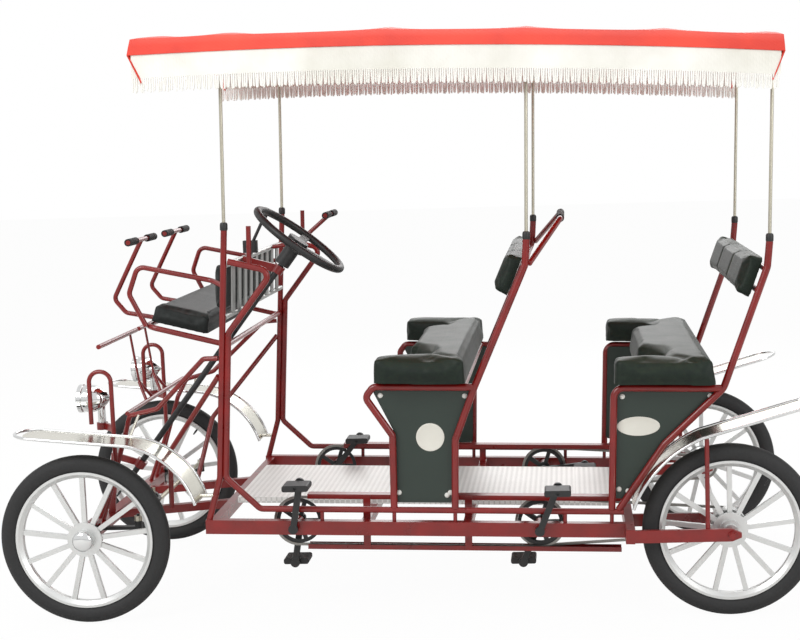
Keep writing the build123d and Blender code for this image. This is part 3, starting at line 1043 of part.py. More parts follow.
# Cranks: a spindle through the rail with an arm at each end and the chainrings between, and two pedals
ARM_THICK = 14.0
ARM_OUTER_Y = 563.0
ARM_INNER_Y = 401.0
ARM_BOSS = 17.0
PEDAL_GAP = 8.0
PEDAL_WIDTH = 80.0
PEDAL_LENGTH = 92.0
PEDAL_THICK = 22.0
PEDAL_PIN = 6.0
RING_BAND = 13.0
RING_THICK = 3.0
CRANK_ROWS = (  # end, side, lead angle of the outer arm from the rear, degrees
    ("front", "left", 80.0), ("rear", "left", 67.0), ("front", "right", 231.0), ("rear", "right", 186.0))
for end, name, angle in CRANK_ROWS:
    side = SIDES[name]
    station = CRANK_STATIONS[end]
    ring_planes = (TANDEM_Y,) if end == "front" else (TANDEM_Y, DRIVE_Y)
    hub = leaned(station, 0, RAIL_Z)
    reach = Vector(math.cos(math.radians(angle)), 0, math.sin(math.radians(angle))) * CRANK_ARM
    arm_rows = ((ARM_OUTER_Y, 1, reach), (ARM_INNER_Y, -1, reach * -1))  # plane y, pedal's way out, arm
    with BuildPart() as crank:
        rod(hub + Vector(0, side * (ARM_INNER_Y - ARM_THICK / 2), 0),
            hub + Vector(0, side * (ARM_OUTER_Y + ARM_THICK / 2), 0),
            CRANK_SPINDLE)
        for y in ring_planes:
            face = hub + Vector(0, side * y - RING_THICK / 2, 0)
            with BuildSketch(Plane(origin=face, x_dir=(1, 0, 0), z_dir=(0, 1, 0))) as ring:
                Circle(CHAINRING_RADIUS)
                Circle(CHAINRING_RADIUS - RING_BAND, mode=Mode.SUBTRACT)
                with PolarLocations(0, 5):
                    with Locations((CHAINRING_RADIUS / 2 - 2, 0)):
                        Rectangle(CHAINRING_RADIUS - RING_BAND + 8, 16)
                Circle(24)
            extrude(ring.sketch, amount=RING_THICK)
        for y, way, arm in arm_rows:
            plane_y = Vector(0, side * y, 0)
            half = Vector(0, side * ARM_THICK / 2, 0)
            bar(hub + plane_y, hub + plane_y + arm, ARM_THICK, 22)
            for spot in (hub, hub + arm):
                rod(spot + plane_y - half, spot + plane_y + half, ARM_BOSS)
            rod(hub + plane_y + arm,
                hub + plane_y + arm + Vector(0, side * way * (ARM_THICK / 2 + PEDAL_GAP + PEDAL_WIDTH - 6), 0),
                PEDAL_PIN)
    crank.part.label = f"crank_{end}_{name}"
    export_step(crank.part, f"parts/crank_{end}_{name}.step")

    with BuildPart() as pedals:
        for y, way, arm in arm_rows:
            near = hub + arm + Vector(0, side * (y + way * (ARM_THICK / 2 + PEDAL_GAP)), 0)
            with BuildSketch(Plane(origin=near, x_dir=(1, 0, 0), z_dir=(0, side * way, 0))) as tread:
                RectangleRounded(PEDAL_LENGTH, PEDAL_THICK, 8)
                Circle(PEDAL_PIN + RUNNING_GAP, mode=Mode.SUBTRACT)
            extrude(tread.sketch, amount=PEDAL_WIDTH)
    pedals.part.label = f"pedals_{end}_{name}"
    export_step(pedals.part, f"parts/pedals_{end}_{name}.step")
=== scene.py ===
import json
import math

import bpy
from mathutils import Matrix, Vector

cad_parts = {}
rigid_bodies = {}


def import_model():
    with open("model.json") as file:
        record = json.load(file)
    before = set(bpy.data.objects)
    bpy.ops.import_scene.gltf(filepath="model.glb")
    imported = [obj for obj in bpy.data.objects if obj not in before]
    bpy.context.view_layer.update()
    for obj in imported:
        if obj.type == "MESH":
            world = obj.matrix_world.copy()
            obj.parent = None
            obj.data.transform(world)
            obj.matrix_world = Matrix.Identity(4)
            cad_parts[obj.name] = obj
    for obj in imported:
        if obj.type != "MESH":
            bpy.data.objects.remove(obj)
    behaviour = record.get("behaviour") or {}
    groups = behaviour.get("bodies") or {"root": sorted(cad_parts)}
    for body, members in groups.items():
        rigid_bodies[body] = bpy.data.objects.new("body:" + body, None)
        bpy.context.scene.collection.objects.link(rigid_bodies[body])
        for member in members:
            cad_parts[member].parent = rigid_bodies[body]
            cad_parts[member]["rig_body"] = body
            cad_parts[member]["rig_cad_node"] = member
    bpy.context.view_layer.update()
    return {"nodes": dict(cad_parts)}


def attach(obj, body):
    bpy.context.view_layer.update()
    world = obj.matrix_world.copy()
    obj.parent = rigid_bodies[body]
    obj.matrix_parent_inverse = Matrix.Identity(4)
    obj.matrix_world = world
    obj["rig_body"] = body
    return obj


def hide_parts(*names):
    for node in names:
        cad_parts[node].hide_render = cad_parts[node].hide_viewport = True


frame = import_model()
nodes = frame["nodes"]
scene = bpy.context.scene
scene.view_settings.view_transform = "Standard"
bpy.ops.object.select_all(action="DESELECT")
print("frame loaded:", len(nodes), "nodes")

rake = math.radians(1.43)  # the frame slopes down to the rear


def leaned(x, y, z):
    # a point of the level frame in mm, as it stands in the scene in metres
    return Vector((x * math.cos(rake) + z * math.sin(rake), y, z * math.cos(rake) - x * math.sin(rake))) / 1000


def hexColour(text):
    # sRGB hex to linear
    channels = [int(text[i:i + 2], 16) / 255 for i in (1, 3, 5)]
    return [c / 12.92 if c <= 0.04045 else ((c + 0.055) / 1.055) ** 2.4 for c in channels] + [1.0]


def addNode(tree, kind, settings=None, links=None):
    node = tree.nodes.new(kind)
    for name, value in (settings or {}).items():
        if hasattr(node, name):
            setattr(node, name, value)
        else:
            node.inputs[name].default_value = value
    for name, source in (links or {}).items():
        tree.links.new(source, node.inputs[name])
    return node


def newMaterial(name, **sockets):
    material = bpy.data.materials.new(name)
    material.use_nodes = True
    tree = material.node_tree
    shader = tree.nodes["Principled BSDF"]
    for socket, value in sockets.items():
        shader.inputs[socket.replace("_", " ")].default_value = value
    place = addNode(tree, "ShaderNodeTexCoord")
    return material, tree, shader, place.outputs["Object"]


def perMetre(sizeMm):
    # a texture's scale from the real size of one of its features
    return 1000 / sizeMm


# Stove enamel sprayed on steel tube: deep glossy red, a little orange peel, duller where hands rub it
redEnamel, tree, shader, place = newMaterial("stoveEnamelRed", IOR=1.5, Coat_Weight=0.15, Coat_Roughness=0.12)
cloud = addNode(tree, "ShaderNodeTexNoise", {"Scale": perMetre(70), "Detail": 4.0}, {"Vector": place})
tint = addNode(tree, "ShaderNodeValToRGB", links={"Fac": cloud.outputs["Fac"]})
tint.color_ramp.elements[0].color = hexColour("#5C0806")
tint.color_ramp.elements[1].color = hexColour("#8A110D")
dull = addNode(tree, "ShaderNodeMapRange", {"To Min": 0.22, "To Max": 0.38}, {"Value": cloud.outputs["Fac"]})
peel = addNode(tree, "ShaderNodeTexNoise", {"Scale": perMetre(4), "Detail": 2.0}, {"Vector": place})
bump = addNode(tree, "ShaderNodeBump", {"Strength": 0.08, "Distance": 0.0004}, {"Height": peel.outputs["Fac"]})
tree.links.new(tint.outputs["Color"], shader.inputs["Base Color"])
tree.links.new(dull.outputs["Result"], shader.inputs["Roughness"])
tree.links.new(bump.outputs["Normal"], shader.inputs["Normal"])


def vinylCloth(name, dark, pale, grainMm, sheen):
    # embossed vinyl: fine leather grain, soft wide highlight; painted sheen makes the colour paler in patchy streaks
    # along the wrinkles and on faces that point upward
    material, tree, shader, place = newMaterial(name, IOR=1.48, Specular_IOR_Level=0.25, Sheen_Weight=sheen,
                                                Sheen_Roughness=0.5)
    patchNoise = addNode(tree, "ShaderNodeTexNoise", {"Scale": perMetre(120), "Detail": 6.0, "Roughness": 0.6},
                   {"Vector": place})
    streak = addNode(tree, "ShaderNodeMapping", {"Scale": (60.0, 4.0, 60.0)}, {"Vector": place})
    crease = addNode(tree, "ShaderNodeTexNoise", {"Scale": 1.0, "Detail": 3.0}, {"Vector": streak.outputs["Vector"]})
    # painted sheen: patchy streaks that follow the wrinkles push the colour towards the pale end
    paintedStreakSheen = addNode(tree, "ShaderNodeMath", {"operation": "MULTIPLY"})
    tree.links.new(patchNoise.outputs["Fac"], paintedStreakSheen.inputs[0])
    tree.links.new(crease.outputs["Fac"], paintedStreakSheen.inputs[1])
    # painted sheen: faces whose normal points upward are made paler
    up = addNode(tree, "ShaderNodeNewGeometry")
    split = addNode(tree, "ShaderNodeSeparateXYZ", links={"Vector": up.outputs["Normal"]})
    top = addNode(tree, "ShaderNodeMapRange", {"From Min": 0.35, "From Max": 0.95, "To Min": 0.0, "To Max": 0.3},
                  {"Value": split.outputs["Z"]})
    # lift is the sum of the two painted sheens, and it picks the colour between dark and pale
    lift = addNode(tree, "ShaderNodeMath", {"operation": "ADD"})
    tree.links.new(paintedStreakSheen.outputs["Value"], lift.inputs[0])
    tree.links.new(top.outputs["Result"], lift.inputs[1])
    tint = addNode(tree, "ShaderNodeValToRGB", links={"Fac": lift.outputs["Value"]})
    tint.color_ramp.elements[0].position = 0.15
    tint.color_ramp.elements[0].color = hexColour(dark)
    tint.color_ramp.elements[1].position = 0.85
    tint.color_ramp.elements[1].color = hexColour(pale)
    grain = addNode(tree, "ShaderNodeTexVoronoi", {"Scale": perMetre(grainMm), "feature": "DISTANCE_TO_EDGE"},
                    {"Vector": place})
    bump = addNode(tree, "ShaderNodeBump", {"Strength": 0.25, "Distance": 0.0006},
                   {"Height": grain.outputs["Distance"]})
    wrinkle = addNode(tree, "ShaderNodeBump", {"Strength": 0.35, "Distance": 0.003},
                      {"Height": crease.outputs["Fac"], "Normal": bump.outputs["Normal"]})
    gloss = addNode(tree, "ShaderNodeMapRange", {"To Min": 0.42, "To Max": 0.6}, {"Value": patchNoise.outputs["Fac"]})
    tree.links.new(tint.outputs["Color"], shader.inputs["Base Color"])
    tree.links.new(gloss.outputs["Result"], shader.inputs["Roughness"])
    tree.links.new(wrinkle.outputs["Normal"], shader.inputs["Normal"])
    return material


# each vinyl's second colour is the pale end of its painted sheen
greenVinyl = vinylCloth("embossedVinylGreen", "#0B1711", "#223020", 3.5, 0.05)
blackVinyl = vinylCloth("embossedVinylBlack", "#0F1312", "#232A28", 3.5, 0.05)
pipingVinyl = vinylCloth("pipingVinyl", "#59674F", "#7D8A70", 3.0, 0.1)


def castMetal(name, colour, metallic, low, high, grainMm, grainDepth, stretch=(1.0, 1.0, 1.0)):
    # metal seen by its finish: the grain left by the mould, the brush or the plating bath
    material, tree, shader, place = newMaterial(name, Metallic=metallic)
    lay = addNode(tree, "ShaderNodeMapping", {"Scale": stretch}, {"Vector": place})
    grain = addNode(tree, "ShaderNodeTexNoise", {"Scale": perMetre(grainMm), "Detail": 3.0},
                    {"Vector": lay.outputs["Vector"]})
    stain = addNode(tree, "ShaderNodeTexNoise", {"Scale": perMetre(90), "Detail": 5.0}, {"Vector": place})
    tint = addNode(tree, "ShaderNodeValToRGB", links={"Fac": stain.outputs["Fac"]})
    base = hexColour(colour)
    tint.color_ramp.elements[0].color = [c * 0.82 for c in base[:3]] + [1.0]
    tint.color_ramp.elements[1].color = base
    rough = addNode(tree, "ShaderNodeMapRange", {"To Min": low, "To Max": high}, {"Value": grain.outputs["Fac"]})
    bump = addNode(tree, "ShaderNodeBump", {"Strength": 0.2, "Distance": grainDepth}, {"Height": grain.outputs["Fac"]})
    tree.links.new(tint.outputs["Color"], shader.inputs["Base Color"])
    tree.links.new(rough.outputs["Result"], shader.inputs["Roughness"])
    tree.links.new(bump.outputs["Normal"], shader.inputs["Normal"])
    return material


castAluminium = castMetal("sandCastAluminium", "#D8D9D8", 0.85, 0.28, 0.5, 3, 0.0003)
polishedSteel = castMetal("polishedStainless", "#D5D2C6", 1.0, 0.12, 0.26, 3, 0.0001, (0.15, 1.0, 1.0))
chromePlate = castMetal("chromePlate", "#DCDDDD", 1.0, 0.04, 0.1, 20, 0.0001)
zincTube = castMetal("zincPlatedTube", "#BDB8A8", 1.0, 0.3, 0.45, 4, 0.0002, (1.0, 1.0, 0.12))
zincChain = castMetal("oiledChainSteel", "#8C8A86", 1.0, 0.3, 0.5, 5, 0.0003)
brushedSlat = castMetal("brushedSlatSteel", "#A9AAA8", 1.0, 0.3, 0.5, 2.5, 0.0002, (1.0, 1.0, 0.08))
blackSteel = castMetal("blackPaintedSteel", "#191A1B", 0.0, 0.35, 0.55, 4, 0.0003)
blackPlastic = castMetal("mouldedBlackPolypropylene", "#1A1A1B", 0.0, 0.42, 0.6, 2.5, 0.0004)
gripRubber = castMetal("foamGripRubber", "#161617", 0.0, 0.7, 0.9, 3, 0.0008)
tyreRubber = castMetal("tyreRubber", "#1C1C1D", 0.0, 0.6, 0.8, 6, 0.0006)
cableSheath = castMetal("cablePvc", "#161618", 0.0, 0.4, 0.5, 6, 0.0002)
rivetWhite = castMetal("whiteNylonRivet", "#E4E4DE", 0.0, 0.3, 0.45, 8, 0.0002)
plateEnamel = castMetal("blankPlateEnamel", "#DEDCD2", 0.0, 0.25, 0.4, 10, 0.0002)
boltZinc = castMetal("zincBolt", "#B4B4B0", 1.0, 0.25, 0.42, 5, 0.0002)
panelGreen = castMetal("vinylFacedPanel", "#233029", 0.0, 0.35, 0.5, 5, 0.0005)

# Chequered floor sheet: pale anodised aluminium with small raised lozenges, darker between them
floorSheet, tree, shader, place = newMaterial("anodisedFloorSheet", Metallic=0.35, Roughness=0.5)
turn = addNode(tree, "ShaderNodeMapping", {"Rotation": (0.0, 0.0, math.radians(45)), "Scale": (1.0, 1.0, 1.0)},
               {"Vector": place})
stud = addNode(tree, "ShaderNodeTexChecker", {"Scale": perMetre(14), "Color1": (0.8, 0.8, 0.78, 1),
                                             "Color2": (0.62, 0.62, 0.6, 1)}, {"Vector": turn.outputs["Vector"]})
bump = addNode(tree, "ShaderNodeBump", {"Strength": 0.4, "Distance": 0.001}, {"Height": stud.outputs["Fac"]})
tree.links.new(stud.outputs["Color"], shader.inputs["Base Color"])
tree.links.new(bump.outputs["Normal"], shader.inputs["Normal"])

# Pressed lamp glass: clear, smooth, faint ripples
lampGlass, tree, shader, place = newMaterial("pressedLampGlass", IOR=1.5, Roughness=0.05, Transmission_Weight=0.9,
                                             Base_Color=hexColour("#EEF2F0"))
ripple = addNode(tree, "ShaderNodeTexWave", {"Scale": perMetre(9), "bands_direction": "Y"}, {"Vector": place})
bump = addNode(tree, "ShaderNodeBump", {"Strength": 0.3, "Distance": 0.0008}, {"Height": ripple.outputs["Fac"]})
tree.links.new(bump.outputs["Normal"], shader.inputs["Normal"])


def canvasCloth(name, dark, pale, threadMm, sheen):
    # coated canvas: a plain weave, drawn coarser than life so that it shows, clouded by sun and dirt
    material, tree, shader, place = newMaterial(name, Roughness=0.62, Sheen_Weight=sheen)
    warp = addNode(tree, "ShaderNodeTexWave", {"Scale": perMetre(threadMm) / 6.2832, "bands_direction": "X"},
                   {"Vector": place})
    weft = addNode(tree, "ShaderNodeTexWave", {"Scale": perMetre(threadMm) / 6.2832, "bands_direction": "DIAGONAL"},
                   {"Vector": place})
    cross = addNode(tree, "ShaderNodeMath", {"operation": "MULTIPLY"})
    tree.links.new(warp.outputs["Fac"], cross.inputs[0])
    tree.links.new(weft.outputs["Fac"], cross.inputs[1])
    sun = addNode(tree, "ShaderNodeTexNoise", {"Scale": perMetre(180), "Detail": 5.0}, {"Vector": place})
    tint = addNode(tree, "ShaderNodeValToRGB", links={"Fac": sun.outputs["Fac"]})
    tint.color_ramp.elements[0].position = 0.3
    tint.color_ramp.elements[0].color = hexColour(dark)
    tint.color_ramp.elements[1].position = 0.7
    tint.color_ramp.elements[1].color = hexColour(pale)
    bump = addNode(tree, "ShaderNodeBump", {"Strength": 0.25, "Distance": 0.0008}, {"Height": cross.outputs["Value"]})
    tree.links.new(tint.outputs["Color"], shader.inputs["Base Color"])
    tree.links.new(bump.outputs["Normal"], shader.inputs["Normal"])
    return material


redCanvas = canvasCloth("coatedCanvasRed", "#C62A17", "#DE3B22", 5, 0.1)
whiteCanvas = canvasCloth("coatedCanvasWhite", "#DAD8CE", "#EDECE6", 5, 0.1)
fringeCotton = canvasCloth("cottonFringe", "#E2E0D8", "#F1F0EC", 4, 0.3)
print("materials ready")

nodeFinish = {
    redEnamel: ["rails", "uprights", "cross_members", "chain_guards", "front_axle", "front_tubes", "lamp_hoops",
                "rear_forks", "front_bench_sides", "front_bench_bars", "rear_bench_sides", "rear_bench_bars",
                "grab_bar", "child_seat_frame", "child_handlebars", "foot_bars", "passenger_bar", "column_bracket"],
    castAluminium: [f"wheel_{end}_{side}" for end in ("front", "rear") for side in ("left", "right")],
    tyreRubber: [f"tyre_{end}_{side}" for end in ("front", "rear") for side in ("left", "right")],
    blackSteel: [f"crank_{end}_{side}" for end in ("front", "rear") for side in ("left", "right")]
    + ["knuckle_left", "knuckle_right", "steering_column"],
    blackPlastic: ["steering_wheel", "brake_lever"]
    + [f"pedals_{end}_{side}" for end in ("front", "rear") for side in ("left", "right")],
    gripRubber: ["hand_grips"],
    polishedSteel: ["front_fenders", "rear_fenders"],
    chromePlate: ["headlamps"],
    lampGlass: ["headlamp_lenses"],
    zincTube: ["canopy_poles", "canopy_frame", "tie_rod"],
    zincChain: ["chains"],
    brushedSlat: ["dash"],
    panelGreen: ["side_panels"],
    floorSheet: ["floor"],
}
for finish, names in nodeFinish.items():
    for name in names:
        nodes[name].data.materials.clear()
        nodes[name].data.materials.append(finish)
print("CAD nodes painted")

# Camera at the photograph's place, and plain studio light
viewSpot = {"place": (0.6049, -5.612, 1.6903), "yaw": -0.0547, "pitch": 0.1164, "roll": -0.0299,
            "focalPx": 1478.7, "widthPx": 800, "shiftPx": (90, 11)}
yaw, pitch, roll = viewSpot["yaw"], viewSpot["pitch"], viewSpot["roll"]
ahead = Vector((math.sin(yaw) * math.cos(pitch), math.cos(yaw) * math.cos(pitch), -math.sin(pitch)))
levelRight = Vector((math.cos(yaw), -math.sin(yaw), 0))
levelUp = levelRight.cross(ahead)
right = levelRight * math.cos(roll) + levelUp * math.sin(roll)
up = levelUp * math.cos(roll) - levelRight * math.sin(roll)
bpy.ops.object.camera_add(location=viewSpot["place"])
camera = bpy.context.object
camera.name = "photoCamera"
camera.rotation_euler = Matrix((right, up, -ahead)).transposed().to_euler()
camera.data.sensor_width = 36
camera.data.lens = viewSpot["focalPx"] * 36 / viewSpot["widthPx"]
camera.data.shift_x = -viewSpot["shiftPx"][0] / viewSpot["widthPx"]
camera.data.shift_y = -viewSpot["shiftPx"][1] / viewSpot["widthPx"]
camera.data.clip_end = 200
scene.camera = camera

studio = {
    "key": {"place": (-3.5, -4.5, 4.6), "size": 3.0, "watts": 210},
    "fill": {"place": (4.6, -4.0, 3.0), "size": 3.5, "watts": 110},
    "top": {"place": (0.2, 0.4, 5.6), "size": 4.5, "watts": 120},
    "back": {"place": (0.5, 5.0, 3.6), "size": 3.5, "watts": 110},
}
for name, lamp in studio.items():
    bpy.ops.object.light_add(type="AREA", location=lamp["place"])
    light = bpy.context.object
    light.name = name + "Lamp"
    light.data.size = lamp["size"]
    light.data.energy = lamp["watts"]
    light.rotation_euler = (Vector((0, 0, 0.9)) - light.location).to_track_quat("-Z", "Y").to_euler()

# The backdrop is white to the eye and in reflections, and lights the object more softly
world = bpy.data.worlds.new("studio")
scene.world = world
world.use_nodes = True
tree = world.node_tree
tree.nodes.clear()
ray = addNode(tree, "ShaderNodeLightPath")
seen = addNode(tree, "ShaderNodeMath", {"operation": "ADD", "use_clamp": True})
tree.links.new(ray.outputs["Is Camera Ray"], seen.inputs[0])
tree.links.new(ray.outputs["Is Glossy Ray"], seen.inputs[1])
through = addNode(tree, "ShaderNodeMath", {"operation": "ADD", "use_clamp": True})
tree.links.new(seen.outputs["Value"], through.inputs[0])
tree.links.new(ray.outputs["Is Transmission Ray"], through.inputs[1])
soft = addNode(tree, "ShaderNodeBackground", {"Color": (1, 1, 1, 1), "Strength": 0.5})
white = addNode(tree, "ShaderNodeBackground", {"Color": (1, 1, 1, 1), "Strength": 1.0})
mix = addNode(tree, "ShaderNodeMixShader", links={"Fac": through.outputs["Value"]})
tree.links.new(soft.outputs["Background"], mix.inputs[1])
tree.links.new(white.outputs["Background"], mix.inputs[2])
addNode(tree, "ShaderNodeOutputWorld", links={"Surface": mix.outputs["Shader"]})

bpy.ops.mesh.primitive_plane_add(size=60, location=(0, 0, 0))
studioFloor = bpy.context.object
studioFloor.name = "studioFloor"
paper, tree, shader, place = newMaterial("paperSweep", Base_Color=hexColour("#F4F4F2"), Roughness=0.9)
ray = addNode(tree, "ShaderNodeLightPath")
seen = addNode(tree, "ShaderNodeMath", {"operation": "MULTIPLY"})
tree.links.new(ray.outputs["Is Camera Ray"], seen.inputs[0])
seen.inputs[1].default_value = 0.96  # share of plain white, so that a soft shadow is left
glow = addNode(tree, "ShaderNodeEmission", {"Color": (1, 1, 1, 1), "Strength": 1.0})
mix = addNode(tree, "ShaderNodeMixShader", links={"Fac": seen.outputs["Value"]})
tree.links.new(shader.outputs["BSDF"], mix.inputs[1])
tree.links.new(glow.outputs["Emission"], mix.inputs[2])
tree.links.new(mix.outputs["Shader"], tree.nodes["Material Output"].inputs["Surface"])
studioFloor.data.materials.append(paper)
print("camera, lamps and floor set")


def finishPiece(obj, name, material, body="chassis", smooth=40):
    # names a modelled piece, puts its place into its mesh and lets it ride
    bpy.ops.object.select_all(action="DESELECT")
    obj.select_set(True)
    bpy.context.view_layer.objects.active = obj
    bpy.ops.object.transform_apply(location=True, rotation=True, scale=True)
    obj.name = name
    obj.data.name = name
    obj.data.materials.clear()
    obj.data.materials.append(material)
    bpy.ops.object.shade_smooth_by_angle(angle=math.radians(smooth))
    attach(obj, body)
    return obj


def applyAll(obj):
    bpy.context.view_layer.objects.active = obj
    for modifier in list(obj.modifiers):
        bpy.ops.object.modifier_apply(modifier=modifier.name)


def joinAll(parts):
    bpy.ops.object.select_all(action="DESELECT")
    for part in parts:
        part.select_set(True)
    bpy.context.view_layer.objects.active = parts[0]
    bpy.ops.object.join()
    return bpy.context.object


def beadAlong(path, radius):
    # a round bead with closed ends along a row of points
    curve = bpy.data.curves.new("bead", "CURVE")
    curve.dimensions = "3D"
    curve.bevel_depth, curve.bevel_resolution, curve.use_fill_caps = radius, 3, True
    spline = curve.splines.new("POLY")
    spline.points.add(len(path) - 1)
    for point, spot in zip(spline.points, path):
        point.co = (*spot, 1)
    bead = bpy.data.objects.new("bead", curve)
    scene.collection.objects.link(bead)
    bpy.ops.object.select_all(action="DESELECT")
    bead.select_set(True)
    bpy.context.view_layer.objects.active = bead
    bpy.ops.object.convert(target="MESH")
    return bpy.context.object


def copiesAt(model, spots):
    # one copy of a modelled shape for each (place, outward direction), joined into one piece
    copies = []
    for place, outward in spots:
        copy = model.copy()
        copy.data = model.data.copy()
        scene.collection.objects.link(copy)
        turn = Vector(outward).to_track_quat("Z", "Y").to_matrix().to_4x4()
        copy.data.transform(Matrix.Translation(Vector(place)) @ turn)
        copies.append(copy)
    bpy.data.objects.remove(model)
    return joinAll(copies)


def stuffedFrom(nodeName, look):
    # copies a soft CAD solid, draws it in a little, and blows it up again as sewn cloth
    pad = nodes[nodeName].copy()
    pad.data = nodes[nodeName].data.copy()
    pad.parent = None
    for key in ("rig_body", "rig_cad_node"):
        del pad[key]
    scene.collection.objects.link(pad)
    bpy.ops.object.select_all(action="DESELECT")
    pad.select_set(True)
    bpy.context.view_layer.objects.active = pad
    bpy.ops.object.mode_set(mode="EDIT")
    bpy.ops.mesh.select_all(action="SELECT")
    bpy.ops.mesh.remove_doubles(threshold=0.0001)
    bpy.ops.object.mode_set(mode="OBJECT")
    remesh = pad.modifiers.new("skin", "REMESH")
    remesh.mode = "VOXEL"
    remesh.voxel_size = look["voxel"]
    applyAll(pad)
    bpy.ops.object.mode_set(mode="EDIT")
    bpy.ops.mesh.select_all(action="SELECT")
    bpy.ops.transform.shrink_fatten(value=-look["drawIn"])
    bpy.ops.object.mode_set(mode="OBJECT")
    bedAxis = Vector(look["bed"]).normalized()
    reach = [v.co.dot(bedAxis) for v in pad.data.vertices]
    bedLine = max(reach) - look["bedDepth"]
    held = pad.vertex_groups.new(name="bed")
    held.add([i for i, r in enumerate(reach) if r > bedLine], 1.0, "REPLACE")
    before = [v.co.copy() for v in pad.data.vertices]
    cloth = pad.modifiers.new("inflate", "CLOTH")
    cloth.settings.use_pressure = True
    cloth.settings.uniform_pressure_force = look["pressure"]
    cloth.settings.effector_weights.gravity = 0
    cloth.settings.quality = 4
    cloth.settings.vertex_group_mass = "bed"
    cloth.point_cache.frame_end = 20
    for step in range(1, 21):
        scene.frame_set(step)
    applyAll(pad)
    scene.frame_set(1)
    for vertex, start in zip(pad.data.vertices, before):
        move = vertex.co - start
        if move.length > look["cap"]:
            vertex.co = start + move.normalized() * look["cap"]
    for seam in look.get("seams", []):
        # a sewn channel: the skin is drawn in along a plane across the pad
        for vertex in pad.data.vertices:
            off = (vertex.co.y - seam) / look["seamWidth"]
            if abs(off) < 3 and vertex.co.dot(bedAxis) < bedLine:
                vertex.co += bedAxis * look["seamDepth"] * math.exp(-off * off)
    smooth = pad.modifiers.new("relax", "SMOOTH")
    smooth.factor, smooth.iterations = 0.5, look["relax"]
    divide = pad.modifiers.new("divide", "SUBSURF")
    divide.levels = divide.render_levels = 1
    applyAll(pad)
    pad.vertex_groups.clear()
    finishPiece(pad, look["name"], look["cover"], smooth=180)
    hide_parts(nodeName)
    print(look["name"], "stuffed:", len(pad.data.vertices), "points")
    return pad


bench = {"voxel": 0.008, "drawIn": 0.008, "bed": (0, 0, -1), "bedDepth": 0.02, "pressure": 4.0, "cap": 0.012,
         "relax": 3, "cover": greenVinyl, "slot": "green_vinyl", "fill": 0.7}
back = {"voxel": 0.007, "drawIn": 0.007, "bed": (1, 0, -0.35), "bedDepth": 0.012, "pressure": 4.0, "cap": 0.011,
        "relax": 3, "cover": greenVinyl, "slot": "green_vinyl", "fill": 0.7, "seams": (-0.17, 0.17),
        "seamWidth": 0.012, "seamDepth": 0.009}
child = {"voxel": 0.007, "drawIn": 0.006, "pressure": 4.0, "cap": 0.009, "relax": 3, "cover": blackVinyl,
         "slot": "black_vinyl", "fill": 0.6, "bedDepth": 0.012}
pads = {
    "front_cushion": {**bench, "name": "frontBenchCushion"},
    "rear_cushion": {**bench, "name": "rearBenchCushion"},
    "front_backrest": {**back, "name": "frontBackPad"},
    "rear_backrest": {**back, "name": "rearBackPad"},
    "child_seat_pad": {**child, "name": "childSeatPad", "bed": (-0.25, 0, -1)},
    "child_seat_back": {**child, "name": "childBackPad", "bed": (1, 0, -0.05)},
}
stuffed = {nodeName: stuffedFrom(nodeName, look) for nodeName, look in pads.items()}

# Sewn piping down the rear backrest, laid on the pad's own front skin
piping = {"lines": (-0.17, 0.17), "radius": 0.005, "near": 0.006, "step": 0.012}
pad = stuffed["rear_backrest"]
strips = []
for line in piping["lines"]:
    rows = {}
    for vertex in pad.data.vertices:
        if abs(vertex.co.y - line) < piping["near"]:
            row = round(vertex.co.z / piping["step"])
            if row not in rows or vertex.co.x < rows[row][0]:
                rows[row] = (vertex.co.x, vertex.co.z)
    path = [rows[row] for row in sorted(rows)][1:-1]
    strips.append(beadAlong([(x + piping["radius"] * 0.3, line, z) for x, z in path], piping["radius"]))
finishPiece(joinAll(strips), "rearBackPiping", pipingVinyl, smooth=60)
print("piping laid")


def turnedShape(profile, steps):
    # spins a profile of (radius, height) points round Z, merges the seam and turns the skin outward
    mesh = bpy.data.meshes.new("turned")
    mesh.from_pydata([(r, 0, h) for r, h in profile], [(i, i + 1) for i in range(len(profile) - 1)], [])
    obj = bpy.data.objects.new("turned", mesh)
    scene.collection.objects.link(obj)
    bpy.ops.object.select_all(action="DESELECT")
    obj.select_set(True)
    bpy.context.view_layer.objects.active = obj
    bpy.ops.object.mode_set(mode="EDIT")
    bpy.ops.mesh.select_all(action="SELECT")
    bpy.ops.mesh.spin(steps=steps, angle=math.tau, center=(0, 0, 0), axis=(0, 0, 1))
    bpy.ops.mesh.select_all(action="SELECT")
    bpy.ops.mesh.remove_doubles(threshold=0.00005)
    bpy.ops.mesh.normals_make_consistent(inside=False)
    bpy.ops.object.mode_set(mode="OBJECT")
    return obj


# Canopy roof: one sheet of red canvas stretched over the bows, sagging between them, with hanging end flaps
roof = {"bows": (-875, -626, -60, 425, 905, 1256), "front": -915, "rear": 1281, "half": 640, "shoulder": 600,
        "rise": 55, "crown": 92, "sag": 0.034, "flap": 95, "lean": 40, "skin": 0.0025, "lift": 1.0}


def eaveAt(x):
    return 1972 + 29 * (1 - ((x - 183) / 1098) ** 2)


def roofPoint(x, y):
    # the CAD roof's section, less the sag between the two bows on either side
    side = abs(y)
    if side <= roof["shoulder"]:
        up = roof["crown"] - (roof["crown"] - roof["rise"]) * (side / roof["shoulder"]) ** 2
    else:
        up = roof["rise"] * (roof["half"] - side) / (roof["half"] - roof["shoulder"])
    sag = 0
    for near, far in zip(roof["bows"], roof["bows"][1:]):
        if near < x < far:
            part = (x - near) / (far - near)
            sag = roof["sag"] * (far - near) * 4 * part * (1 - part)
    loose = 1 - min(1, side / roof["half"]) ** 3
    return leaned(x, y, eaveAt(x) + up - sag * loose + roof["lift"])


